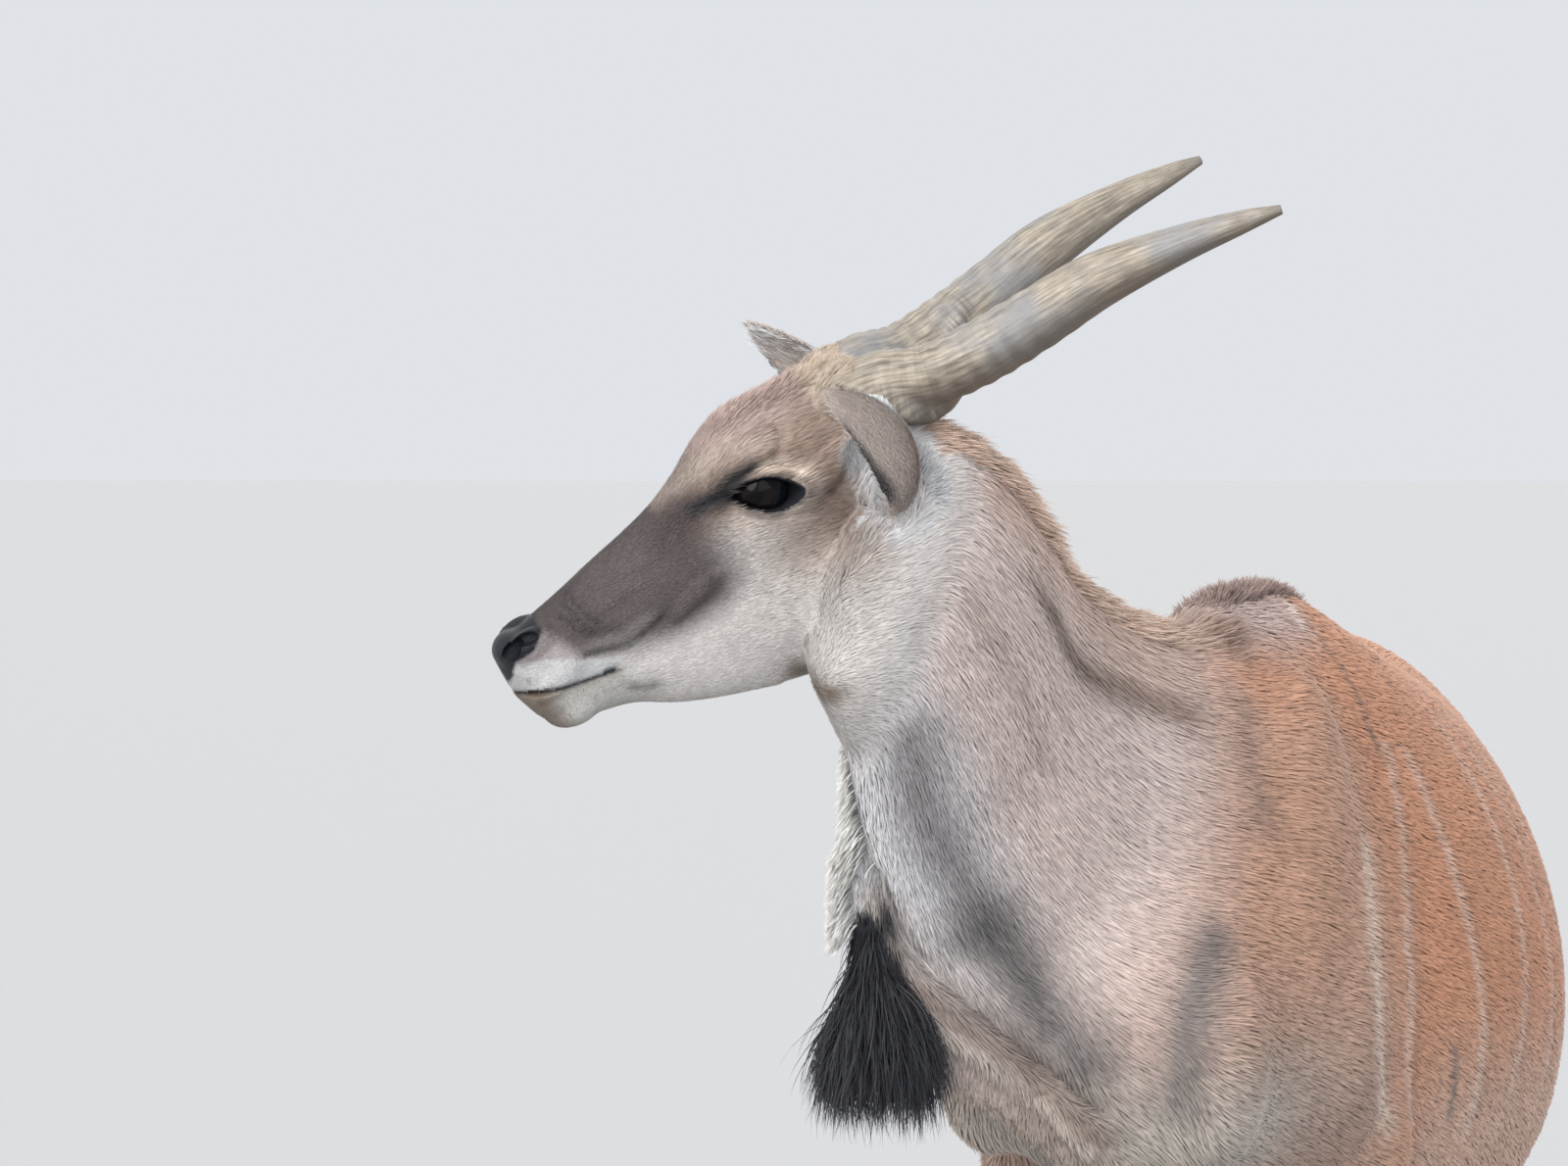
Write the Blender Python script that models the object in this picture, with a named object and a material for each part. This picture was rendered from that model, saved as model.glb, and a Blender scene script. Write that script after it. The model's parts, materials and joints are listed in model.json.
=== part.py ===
"""Eland standing with its head turned to its right, as still solids at life size.

The animal is modelled in its own frame: x to its left, y towards its tail, z up, on the ground z = 0.
"""
import math
import random

import bmesh
import bpy
import numpy as np
from mathutils import Matrix, Vector

# Driving dimensions, in metres
GAP = 0.0003
CHEST_FRONT = -0.40
BUTTOCK = 1.36
BEND = 0.42
BEND_FROM = 0.35
BODY_VOXEL = 0.011
HEAD_VOXEL = 0.0032
TORSO_VOXEL = 0.014
BODY_TRIANGLES = 4000
HEAD_TRIANGLES = 2150

# Head frame: the point between the eyes, and the way the nose, left side and crown point
HEAD_ORIGIN = Vector((-0.508, -0.661, 1.552))
HEAD_YAW = math.radians(12)
HEAD_PITCH = math.radians(31)
HEAD_ROLL = math.radians(12)

# Eyes, in the head frame
EYE_RADIUS = 0.031
EYE_CENTRE = (-0.002, 0.052, -0.001)
EYE_HALF_LENGTH = 0.0315
EYE_HALF_HEIGHT = 0.0165
EYE_TILT = math.radians(-27)

# Horns and ears
HORN_TURNS = 1.05
HORN_KEEL = 0.016
EAR_WALL = 0.0055

# Legs: where each hoof stands (side, along) and how tall the hoof is
HOOF_HEIGHT = 0.066
FORE_LEFT = (0.125, -0.02)
FORE_RIGHT = (-0.175, -0.16)
HIND_LEFT = (0.135, 1.20)
HIND_RIGHT = (-0.135, 1.10)


for old in list(bpy.data.objects):
    bpy.data.objects.remove(old, do_unlink=True)


# Materials

def material(name, colour, roughness, metallic=0.0):
    made = bpy.data.materials.new(name)
    made.use_nodes = True
    shader = made.node_tree.nodes["Principled BSDF"]
    shader.inputs["Base Color"].default_value = (*colour, 1.0)
    shader.inputs["Roughness"].default_value = roughness
    shader.inputs["Metallic"].default_value = metallic
    return made


COAT_TAN = material("coat_tan", (0.42, 0.22, 0.11), 0.85)
COAT_GREY = material("coat_grey", (0.30, 0.24, 0.20), 0.85)
COAT_PALE = material("coat_pale", (0.50, 0.43, 0.37), 0.85)
HAIR_BLACK = material("hair_black", (0.012, 0.011, 0.011), 0.6)
HORN = material("horn", (0.24, 0.19, 0.13), 0.45)
HOOF = material("hoof", (0.03, 0.026, 0.023), 0.4)
EYE = material("eye", (0.006, 0.005, 0.005), 0.08)


# Mesh helpers

def mesh_object(name, points, faces):
    mesh = bpy.data.meshes.new(name)
    mesh.from_pydata([tuple(p) for p in points], [], faces)
    made = bpy.data.objects.new(name, mesh)
    bpy.context.scene.collection.objects.link(made)
    work = bmesh.new()
    work.from_mesh(mesh)
    bmesh.ops.recalc_face_normals(work, faces=work.faces)
    if work.calc_volume(signed=True) < 0:
        bmesh.ops.reverse_faces(work, faces=work.faces)
    work.to_mesh(mesh)
    work.free()
    return made


def stitch(name, rings):
    """A closed skin through rings of equal point counts, with a fan over each end."""
    sides = len(rings[0])
    points = [p for ring in rings for p in ring]
    faces = []
    for row in range(len(rings) - 1):
        for k in range(sides):
            a = row * sides + k
            b = row * sides + (k + 1) % sides
            faces.append((a, b, b + sides, a + sides))
    for row, flip in ((0, True), (len(rings) - 1, False)):
        centre = len(points)
        points.append(np.mean(rings[row], axis=0))
        for k in range(sides):
            a = row * sides + k
            b = row * sides + (k + 1) % sides
            faces.append((b, a, centre) if flip else (a, b, centre))
    return mesh_object(name, points, faces)


def smooth_rows(rows, count):
    """Rows of numbers read from a smooth curve through the given rows."""
    rows = np.asarray(rows, float)
    last = len(rows) - 1
    result = []
    for s in np.linspace(0, last, count):
        i = min(int(s), last - 1)
        t = s - i
        before = rows[max(i - 1, 0)]
        after = rows[min(i + 2, last)]
        p, q = rows[i], rows[i + 1]
        slope_p = (q - before) / (2 if i > 0 else 1)
        slope_q = (after - p) / (2 if i + 2 <= last else 1)
        result.append((2 * t**3 - 3 * t**2 + 1) * p + (t**3 - 2 * t**2 + t) * slope_p
                      + (3 * t**2 - 2 * t**3) * q + (t**3 - t**2) * slope_q)
    return result


def signed_power(value, power):
    return math.copysign(abs(value) ** power, value)


def ring(centre, left, up, half, above, below, power_above=2.0, power_below=2.0, sides=24):
    """An egg-shaped ring: half its width to each side, and its own reach above and below."""
    points = []
    for k in range(sides):
        turn = 2 * math.pi * k / sides
        c, s = math.cos(turn), math.sin(turn)
        reach, power = (above, power_above) if s >= 0 else (below, power_below)
        points.append(np.asarray(centre) + np.asarray(left) * half * signed_power(c, 2 / power)
                      + np.asarray(up) * reach * signed_power(s, 2 / power))
    return points


def evaluated(made):
    """The object with its modifiers applied."""
    made_mesh = bpy.data.meshes.new_from_object(made.evaluated_get(bpy.context.evaluated_depsgraph_get()))
    made.modifiers.clear()
    made.data = made_mesh
    return made


def joined(name, pieces):
    """One object that holds the meshes of all the pieces."""
    work = bmesh.new()
    for piece in pieces:
        piece.data.transform(piece.matrix_world)
        work.from_mesh(piece.data)
        bpy.data.objects.remove(piece, do_unlink=True)
    mesh = bpy.data.meshes.new(name)
    work.to_mesh(mesh)
    work.free()
    made = bpy.data.objects.new(name, mesh)
    bpy.context.scene.collection.objects.link(made)
    return made


def clay(name, pieces, voxel, smoothing, triangles):
    """Pieces melted into one closed skin, smoothed, and thinned to a number of triangles."""
    return thinned(melted(joined(name, pieces), voxel, smoothing), triangles)


def melted(made, voxel, smoothing):
    """The object's shapes run together into one even closed skin, and smoothed."""
    remesh = made.modifiers.new("melt", "REMESH")
    remesh.mode = "VOXEL"
    remesh.voxel_size = voxel
    if smoothing:
        smooth = made.modifiers.new("smooth", "SMOOTH")
        smooth.factor = 0.5
        smooth.iterations = smoothing
    return evaluated(made)


def thinned(made, triangles):
    """The object with its skin collapsed to about a number of triangles."""
    present = sum(len(face.vertices) - 2 for face in made.data.polygons)
    if present > triangles:
        thin = made.modifiers.new("thin", "DECIMATE")
        thin.ratio = triangles / present
        thin.use_collapse_triangulate = True
        evaluated(made)
    return made


def box(name, frame, low, high):
    """A box between two corners of a frame given as origin, three axes."""
    origin, x, y, z = [np.asarray(v, float) for v in frame]
    points = [origin + x * (high if i else low)[0] + y * (high if j else low)[1] + z * (high if k else low)[2]
              for k in (0, 1) for j in (0, 1) for i in (0, 1)]
    faces = [(0, 1, 3, 2), (4, 5, 7, 6), (0, 1, 5, 4), (2, 3, 7, 6), (0, 2, 6, 4), (1, 3, 7, 5)]
    return mesh_object(name, points, faces)


def boolean(made, cutter, operation, solver="EXACT"):
    """The object cut by or fused with one other, which is removed."""
    step = made.modifiers.new(operation.lower(), "BOOLEAN")
    step.operation = operation
    step.solver = solver
    step.object = cutter
    evaluated(made)
    bpy.data.objects.remove(cutter, do_unlink=True)
    return made


def copy_of(made, name):
    twin = bpy.data.objects.new(name, made.data.copy())
    bpy.context.scene.collection.objects.link(twin)
    return twin


def largest_only(made):
    """Keep the largest closed surface of the object."""
    work = bmesh.new()
    work.from_mesh(made.data)
    bmesh.ops.remove_doubles(work, verts=work.verts, dist=2e-5)
    bmesh.ops.dissolve_degenerate(work, edges=work.edges, dist=2e-5)
    work.faces.ensure_lookup_table()
    seen = set()
    shells = []
    for face in work.faces:
        if face in seen:
            continue
        shell, front = [], [face]
        seen.add(face)
        while front:
            here = front.pop()
            shell.append(here)
            for edge in here.edges:
                for other in edge.link_faces:
                    if other not in seen:
                        seen.add(other)
                        front.append(other)
        shells.append(shell)
    shells.sort(key=lambda shell: sum(f.calc_area() for f in shell))
    for shell in shells[:-1]:
        bmesh.ops.delete(work, geom=shell, context="FACES")
    bmesh.ops.triangulate(work, faces=work.faces)
    work.to_mesh(made.data)
    work.free()
    return made


def parted(whole, name, frame, low, high):
    """Take the part of the whole that lies in a box, and leave a thin cut round it."""
    half = GAP / 2
    inside = copy_of(whole, name)
    boolean(inside, box("cut", frame, [v + half for v in low], [v - half for v in high]), "INTERSECT")
    boolean(whole, box("cut", frame, [v - half for v in low], [v + half for v in high]), "DIFFERENCE")
    return largest_only(inside)


def finish(made, name, finish_material):
    made.name = name
    made.data.name = name
    made.data.materials.clear()
    made.data.materials.append(finish_material)
    made.data.shade_smooth()
    made.data.set_sharp_from_angle(angle=math.radians(50))
    return made


# Places on the bent body

def spine_x(y):
    return -BEND * max(0.0, BEND_FROM - y) ** 2


def body_left(y):
    slope = 2 * BEND * max(0.0, BEND_FROM - y)
    left = np.array([1.0, -slope, 0.0])
    return left / np.linalg.norm(left)


def on_body(side, y, z):
    """A point at a distance to the left of the spine, at a station along it and a height."""
    return np.array([spine_x(y), y, z]) + body_left(y) * side


UP = np.array([0.0, 0.0, 1.0])


def blob(centre, radii, axes=None):
    """An ellipsoid of flesh or bone."""
    bpy.ops.mesh.primitive_ico_sphere_add(subdivisions=4, radius=1.0)
    made = bpy.context.active_object
    if axes is None:
        axes = ((1, 0, 0), (0, 1, 0), (0, 0, 1))
    columns = [Vector(a) * r for a, r in zip(axes, radii)]
    matrix = Matrix((columns[0], columns[1], columns[2])).transposed().to_4x4()
    matrix.translation = Vector(centre)
    made.data.transform(matrix)
    return made


def limb(name, rows, count=40, sides=20):
    """A leg or tail through rows of side, along, height, half width, reach ahead and behind."""
    rings = []
    for x, y, z, half, ahead, behind in smooth_rows(rows, count):
        centre = on_body(x, y, z)
        rings.append(ring(centre, body_left(y), np.cross(UP, body_left(y)), half, behind, ahead, 2.1, 2.1, sides))
    return stitch(name, rings)


# Torso

def torso_form():
    # along, height of the widest line, half width, reach above, reach below, roundness above and below
    rows = [
        (CHEST_FRONT, 0.985, 0.040, 0.06, 0.08, 2.0, 2.0),
        (-0.36, 0.985, 0.095, 0.17, 0.17, 2.0, 2.0),
        (-0.27, 0.980, 0.145, 0.30, 0.22, 1.9, 2.0),
        (-0.14, 0.975, 0.172, 0.435, 0.26, 1.6, 2.0),
        (0.00, 0.970, 0.185, 0.462, 0.28, 1.45, 2.0),
        (0.14, 0.955, 0.205, 0.480, 0.29, 1.5, 2.1),
        (0.35, 0.945, 0.264, 0.442, 0.31, 1.75, 2.1),
        (0.55, 0.935, 0.296, 0.424, 0.33, 1.85, 2.2),
        (0.75, 0.945, 0.290, 0.404, 0.33, 1.85, 2.2),
        (0.92, 0.990, 0.254, 0.370, 0.35, 1.8, 2.1),
        (1.08, 1.035, 0.220, 0.310, 0.30, 1.7, 2.0),
        (1.20, 1.040, 0.185, 0.235, 0.25, 1.8, 2.0),
        (1.30, 1.030, 0.135, 0.160, 0.17, 2.0, 2.0),
        (BUTTOCK, 1.010, 0.050, 0.080, 0.08, 2.0, 2.0),
    ]
    rings = []
    for y, z, half, above, below, power_above, power_below in smooth_rows(rows, 60):
        rings.append(ring(on_body(0, y, z), body_left(y), UP, half, above, below, power_above, power_below, 40))
    return stitch("torso_form", rings)


def torso_muscles():
    forms = []
    for side in (1, -1):
        lean = np.array([0.0, 0.28, 0.96])
        left = body_left(-0.05) * side
        ahead = np.cross(left, lean)
        forms.append(blob(on_body(0.118 * side, -0.09, 1.10), (0.050, 0.12, 0.25), (left, ahead, lean)))
        forms.append(blob(on_body(0.135 * side, -0.02, 0.93), (0.048, 0.13, 0.14)))
        point = (0.125, -0.27) if side > 0 else (-0.150, -0.29)
        forms.append(blob(on_body(*point, 0.93), (0.062, 0.085, 0.12)))
        forms.append(blob(on_body(0.130 * side, 0.98, 1.18), (0.062, 0.13, 0.09)))
        forms.append(blob(on_body(0.125 * side, 1.07, 0.94), (0.098, 0.20, 0.27)))
        forms.append(blob(on_body(0.100 * side, 1.22, 0.96), (0.072, 0.12, 0.22)))
        forms.append(blob(on_body(0.085 * side, 1.28, 1.15), (0.035, 0.06, 0.05)))
    return forms


# Neck, as rows of centre, reach to the nape, reach to the throat, half width

NECK_ROWS = [
    (-0.400, -0.700, 1.500, 0.106, 0.100, 0.070),
    (-0.355, -0.660, 1.465, 0.150, 0.146, 0.082),
    (-0.312, -0.562, 1.383, 0.165, 0.172, 0.090),
    (-0.290, -0.443, 1.295, 0.194, 0.210, 0.102),
    (-0.245, -0.335, 1.215, 0.226, 0.245, 0.122),
    (-0.175, -0.205, 1.155, 0.232, 0.250, 0.150),
    (-0.095, -0.080, 1.120, 0.205, 0.190, 0.128),
]


def neck_frames(count):
    """Centre, left, nape-ward direction, reach to nape and throat, and half width along the neck."""
    rows = smooth_rows(NECK_ROWS, count)
    frames = []
    for i, row in enumerate(rows):
        centre = row[:3]
        ahead = rows[max(i - 1, 0)][:3] - rows[min(i + 1, count - 1)][:3]
        ahead /= np.linalg.norm(ahead)
        share = i / (count - 1)
        nape = NAPE_AT_HEAD * (1 - share) + NAPE_AT_BODY * share
        nape = nape - ahead * (nape @ ahead)
        nape /= np.linalg.norm(nape)
        frames.append((centre, np.cross(nape, ahead), nape, row[3], row[4], row[5]))
    return frames


NAPE_AT_HEAD = np.array([0.42, 0.12, 0.90])
NAPE_AT_BODY = np.array([0.34, 0.42, 0.84])


def neck_form(share=1.0):
    """The neck, or its upper share from the head down."""
    rings = []
    for centre, left, nape, above, below, half in neck_frames(36)[:int(36 * share)]:
        rings.append(ring(centre, left, nape, half, above, below, 1.75, 1.9, 32))
    return stitch("neck_form", rings)


# Dewlap: a thin fold from the mid throat to between the forelegs

DEWLAP_ROWS = [
    (-0.370, -0.520, 1.235, -0.392, -0.535, 1.220, 0.020),
    (-0.350, -0.490, 1.160, -0.421, -0.510, 1.115, 0.022),
    (-0.315, -0.455, 1.085, -0.415, -0.485, 1.020, 0.023),
    (-0.270, -0.420, 1.010, -0.375, -0.462, 0.940, 0.024),
    (-0.215, -0.370, 0.950, -0.290, -0.415, 0.880, 0.026),
    (-0.160, -0.300, 0.880, -0.205, -0.330, 0.800, 0.028),
    (-0.110, -0.200, 0.800, -0.125, -0.210, 0.730, 0.026),
    (-0.080, -0.100, 0.760, -0.085, -0.100, 0.700, 0.020),
]


def dewlap_form():
    rings = []
    for row in smooth_rows(DEWLAP_ROWS, 40):
        root, edge, half = row[:3], row[3:6], row[6]
        depth = np.linalg.norm(edge - root)
        down = (edge - root) / depth
        left = np.cross(np.array([0.3, 0.55, -0.75]), down)
        left /= np.linalg.norm(left)
        rings.append(ring(root, left, down, half, depth, 0.04, 1.35, 2.0, 16))
    return stitch("dewlap_form", rings)


# Legs

def foreleg_form(side, along):
    rows = [
        (side * 0.90, along + 0.02, 1.00, 0.050, 0.090, 0.090),
        (side * 0.98, along + 0.04, 0.86, 0.066, 0.100, 0.110),
        (side * 1.00, along + 0.03, 0.76, 0.060, 0.080, 0.088),
        (side * 1.00, along + 0.02, 0.62, 0.047, 0.056, 0.060),
        (side * 1.00, along + 0.015, 0.51, 0.036, 0.040, 0.042),
        (side * 1.00, along + 0.010, 0.455, 0.040, 0.044, 0.040),
        (side * 1.00, along + 0.010, 0.405, 0.038, 0.042, 0.040),
        (side * 1.00, along + 0.012, 0.35, 0.029, 0.032, 0.034),
        (side * 1.00, along + 0.012, 0.25, 0.0245, 0.026, 0.029),
        (side * 1.00, along + 0.012, 0.18, 0.027, 0.028, 0.032),
        (side * 1.00, along + 0.010, 0.140, 0.034, 0.034, 0.040),
        (side * 1.00, along - 0.010, 0.105, 0.030, 0.032, 0.034),
        (side * 1.00, along - 0.025, 0.075, 0.038, 0.044, 0.046),
        (side * 1.00, along - 0.030, 0.055, 0.038, 0.046, 0.046),
    ]
    forms = [limb("foreleg_form", rows)]
    forms.append(blob(on_body(side, along + 0.085, 0.80), (0.030, 0.035, 0.05)))
    for claw in (-0.018, 0.018):
        forms.append(blob(on_body(side + claw, along + 0.052, 0.125), (0.012, 0.014, 0.017)))
    return forms


def hindleg_form(side, along):
    rows = [
        (side * 1.05, along - 0.14, 0.94, 0.080, 0.160, 0.170),
        (side * 1.10, along - 0.12, 0.83, 0.074, 0.150, 0.150),
        (side * 1.08, along - 0.065, 0.72, 0.058, 0.110, 0.108),
        (side * 1.03, along - 0.005, 0.62, 0.042, 0.064, 0.062),
        (side * 1.00, along + 0.035, 0.550, 0.036, 0.047, 0.050),
        (side * 1.00, along + 0.045, 0.495, 0.038, 0.046, 0.044),
        (side * 1.00, along + 0.038, 0.43, 0.031, 0.038, 0.038),
        (side * 1.00, along + 0.032, 0.33, 0.0265, 0.029, 0.031),
        (side * 1.00, along + 0.030, 0.22, 0.028, 0.029, 0.033),
        (side * 1.00, along + 0.028, 0.155, 0.035, 0.035, 0.041),
        (side * 1.00, along + 0.005, 0.115, 0.030, 0.032, 0.034),
        (side * 1.00, along - 0.012, 0.078, 0.038, 0.044, 0.046),
        (side * 1.00, along - 0.016, 0.055, 0.038, 0.046, 0.046),
    ]
    forms = [limb("hindleg_form", rows)]
    forms.append(blob(on_body(side, along + 0.085, 0.56), (0.016, 0.020, 0.045)))
    forms.append(blob(on_body(side * 1.12, along - 0.24, 0.83), (0.055, 0.07, 0.09)))
    for claw in (-0.018, 0.018):
        forms.append(blob(on_body(side + claw, along + 0.070, 0.140), (0.012, 0.014, 0.017)))
    return forms


def hoof(name, side, along):
    """A cloven hoof: two claws that touch only at their heels, fused there."""
    centre = on_body(side, along, 0)
    left = body_left(along)
    ahead = np.cross(left, UP)
    claws = []
    for s in (-1, 1):
        rings = []
        # height, half width, toe reach, heel reach, shift forward
        for z, half, toe, heel in ((0.0, 0.0185, 0.066, 0.050), (0.014, 0.0187, 0.064, 0.051),
                                   (HOOF_HEIGHT - GAP, 0.0175, 0.038, 0.048)):
            middle = centre + left * (s * 0.0190) + UP * z
            rings.append(ring(middle, left, ahead, half, toe, heel, 1.7, 2.6, 10))
        claws.append(stitch("claw", rings))
    bridge = box("bridge", (centre, left, ahead, UP), (-0.012, -0.040, 0.022), (0.012, -0.012, HOOF_HEIGHT - 0.012))
    boolean(claws[0], bridge, "UNION")
    boolean(claws[0], claws[1], "UNION")
    return finish(largest_only(claws[0]), name, HOOF)


# Tail

def tail_form():
    rows = [
        (0.0, 1.24, 1.195, 0.034, 0.034, 0.034),
        (0.0, 1.33, 1.175, 0.032, 0.032, 0.032),
        (0.0, 1.405, 1.120, 0.027, 0.027, 0.027),
        (0.0, 1.435, 1.030, 0.022, 0.022, 0.022),
        (0.0, 1.440, 0.900, 0.019, 0.019, 0.019),
        (0.0, 1.435, 0.760, 0.017, 0.017, 0.017),
        (0.0, 1.432, 0.640, 0.018, 0.018, 0.018),
        (0.0, 1.432, 0.570, 0.021, 0.021, 0.021),
        (0.0, 1.432, 0.530, 0.014, 0.014, 0.014),
    ]
    return limb("tail_form", rows, 50, 16)


# Head

def head_axes():
    """Forward, left and up of the head, turned, pitched down and rolled."""
    turn = HEAD_YAW
    forward = np.array([-math.cos(turn) * math.cos(HEAD_PITCH), -math.sin(turn) * math.cos(HEAD_PITCH),
                        -math.sin(HEAD_PITCH)])
    level = np.array([-math.sin(turn), math.cos(turn), 0.0])
    crown = np.cross(level, forward)
    left = -(level * math.cos(HEAD_ROLL) + crown * math.sin(HEAD_ROLL))
    return forward, left, np.cross(forward, left)


HEAD_FORWARD, HEAD_LEFT, HEAD_UP = head_axes()


def on_head(ahead, side, height):
    return (np.array(HEAD_ORIGIN) + HEAD_FORWARD * ahead + HEAD_LEFT * side + HEAD_UP * height)


def head_blob(centre, radii, pitch=0.0):
    axes = (HEAD_FORWARD * math.cos(pitch) + HEAD_UP * math.sin(pitch), HEAD_LEFT,
            HEAD_UP * math.cos(pitch) - HEAD_FORWARD * math.sin(pitch))
    return blob(on_head(*centre), radii, axes)


def head_form():
    # ahead, top, underside, half width, height of the widest line, roundness above and below
    rows = [
        (0.318, -0.030, -0.070, 0.014, -0.050, 2.0, 2.0),
        (0.305, -0.014, -0.105, 0.033, -0.055, 2.2, 2.2),
        (0.280, -0.008, -0.126, 0.040, -0.060, 2.2, 2.2),
        (0.250, -0.003, -0.128, 0.042, -0.060, 2.1, 2.2),
        (0.215, 0.004, -0.134, 0.043, -0.060, 2.0, 2.1),
        (0.180, 0.012, -0.158, 0.045, -0.060, 1.9, 2.0),
        (0.140, 0.020, -0.178, 0.050, -0.055, 1.8, 1.9),
        (0.100, 0.030, -0.190, 0.058, -0.045, 1.8, 1.8),
        (0.065, 0.044, -0.200, 0.066, -0.030, 1.9, 1.7),
        (0.030, 0.062, -0.206, 0.072, -0.010, 2.1, 1.65),
        (0.000, 0.070, -0.203, 0.075, 0.000, 2.2, 1.65),
        (-0.050, 0.068, -0.188, 0.074, 0.000, 2.2, 1.8),
        (-0.100, 0.064, -0.165, 0.072, -0.010, 2.0, 2.0),
        (-0.150, 0.040, -0.150, 0.066, -0.030, 2.0, 2.0),
        (-0.185, 0.010, -0.130, 0.050, -0.050, 2.0, 2.0),
    ]
    rings = []
    for a, top, under, half, wide, power_above, power_below in smooth_rows(rows, 60):
        rings.append(ring(on_head(a, 0, wide), HEAD_LEFT, HEAD_UP, half, top - wide, wide - under,
                          power_above, power_below, 40))
    return stitch("head_form", rings)


def head_details():
    forms = [head_blob((0.298, 0, -0.030), (0.020, 0.034, 0.021)),
             head_blob((0.268, 0, -0.106), (0.036, 0.034, 0.026)),
             head_blob((-0.122, 0, 0.052), (0.036, 0.032, 0.026))]
    for s in (1, -1):
        forms.append(head_blob((0.278, 0.029 * s, -0.024), (0.028, 0.0145, 0.018)))
        forms.append(head_blob((0.262, 0.030 * s, -0.066), (0.046, 0.0165, 0.019), -0.25))
        forms.append(head_blob((-0.015, 0.043 * s, -0.105), (0.070, 0.028, 0.075)))
        forms.append(head_blob((0.002, 0.052 * s, 0.030), (0.048, 0.028, 0.022), -0.3))
        forms.append(head_blob((-0.055, 0.066 * s, -0.018), (0.060, 0.018, 0.020), -0.3))
        forms.append(head_blob((0.075, 0.048 * s, -0.050), (0.075, 0.017, 0.014), -0.35))
        forms.append(head_blob((-0.135, 0.045 * s, 0.030), (0.038, 0.034, 0.034)))
        forms.append(head_blob((-0.112, 0.076 * s, -0.080), (0.036, 0.030, 0.038)))
        x, y, z = EYE_CENTRE
        forms.append(head_blob((x, y * s, z), (EYE_RADIUS + 0.006,) * 3))
    return forms


def eye_ball(name, side, grow):
    bpy.ops.mesh.primitive_uv_sphere_add(segments=14, ring_count=8, radius=EYE_RADIUS + grow)
    made = bpy.context.active_object
    x, y, z = EYE_CENTRE
    made.data.transform(Matrix.Translation(Vector(on_head(x, y * side, z))))
    made.name = name
    return made


def eye_opening(side):
    """An almond-shaped cutter through the lids, along the side of the head."""
    x, y, z = EYE_CENTRE
    along = HEAD_FORWARD * math.cos(EYE_TILT) - HEAD_UP * math.sin(EYE_TILT)
    across = HEAD_UP * math.cos(EYE_TILT) + HEAD_FORWARD * math.sin(EYE_TILT)
    rings = []
    for out, swell in ((0.010, 0.75), (0.030, 1.0), (0.070, 1.35)):
        points = []
        for k in range(20):
            turn = 2 * math.pi * k / 20
            reach = EYE_HALF_LENGTH * swell * math.cos(turn)
            lift = EYE_HALF_HEIGHT * swell * signed_power(math.sin(turn), 1.35)
            points.append(on_head(x, (y + out) * side, z) + along * reach + across * lift)
        rings.append(points)
    return stitch("eye_opening", rings)


MOUTH_LINE = [(0.325, 0.000, -0.060), (0.301, 0.030, -0.069), (0.272, 0.045, -0.079),
              (0.245, 0.050, -0.085), (0.217, 0.052, -0.091)]


def mouth_cutter(side):
    """A thin wedge that runs along the line of the mouth from the front of the lips to the corner."""
    rings = []
    for a, b, c in smooth_rows(MOUTH_LINE, 14):
        inward = np.array([-0.25, -1.0, 0.0]) if b > 0.02 else np.array([-1.0, -0.35, 0.0])
        inward /= np.linalg.norm(inward)
        points = []
        for depth, lift in ((-0.010, 0.0048), (0.014, 0.0016), (0.014, -0.0016), (-0.010, -0.0048)):
            local = np.array([a, b, c]) + inward * depth + np.array([0, 0, lift])
            points.append(on_head(local[0], local[1] * side, local[2]))
        rings.append(points)
    return stitch("mouth_cutter", rings)


def nostril_cutter(side):
    """A comma-shaped hollow at each side of the nose."""
    forms = [head_blob((0.297, 0.030 * side, -0.020), (0.015, 0.012, 0.0075), -0.35),
             head_blob((0.280, 0.040 * side, -0.014), (0.014, 0.010, 0.0055), 0.25)]
    return forms


# Horns, in the head frame: ahead, side, height, radius

HORN_ROWS = [
    (-0.118, 0.040, 0.040, 0.030),
    (-0.160, 0.052, 0.026, 0.031),
    (-0.205, 0.065, 0.012, 0.032),
    (-0.263, 0.080, 0.008, 0.033),
    (-0.330, 0.096, 0.012, 0.032),
    (-0.400, 0.114, 0.018, 0.029),
    (-0.483, 0.138, 0.013, 0.020),
    (-0.550, 0.157, 0.004, 0.012),
    (-0.590, 0.169, -0.003, 0.005),
]


def horn(name, side, grow=0.0, share=1.0, count=28, sides=12):
    """A tapered horn with a keel that winds once round its lower half."""
    rows = smooth_rows(HORN_ROWS, count)
    rings = []
    last = int((count - 1) * share)
    for i in range(last + 1):
        row = rows[i]
        ahead = rows[min(i + 1, count - 1)][:3] - rows[max(i - 1, 0)][:3]
        ahead /= np.linalg.norm(ahead)
        out = np.array([0.0, 1.0, 0.0]) - ahead * ahead[1]
        out /= np.linalg.norm(out)
        top = np.cross(ahead, out)
        top *= math.copysign(1, top[2])
        t = i / (count - 1)
        keel_turn = 2 * math.pi * HORN_TURNS * min(1.0, t / 0.52)
        keel = HORN_KEEL * math.sin(math.pi * min(1.0, (t + 0.06) / 0.50)) ** 0.8
        points = []
        for k in range(sides):
            turn = 2 * math.pi * k / sides
            apart = (turn - keel_turn + math.pi) % (2 * math.pi) - math.pi
            reach = row[3] + grow + keel * math.exp(-(apart / 0.42) ** 2)
            local = row[:3] + top * reach * math.cos(turn) + out * reach * math.sin(turn)
            if i == 0:
                local = local - ahead * grow
            points.append(on_head(local[0], local[1] * side, local[2]))
        rings.append(points)
    return stitch(name, rings)


# Ears, in the head frame

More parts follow.
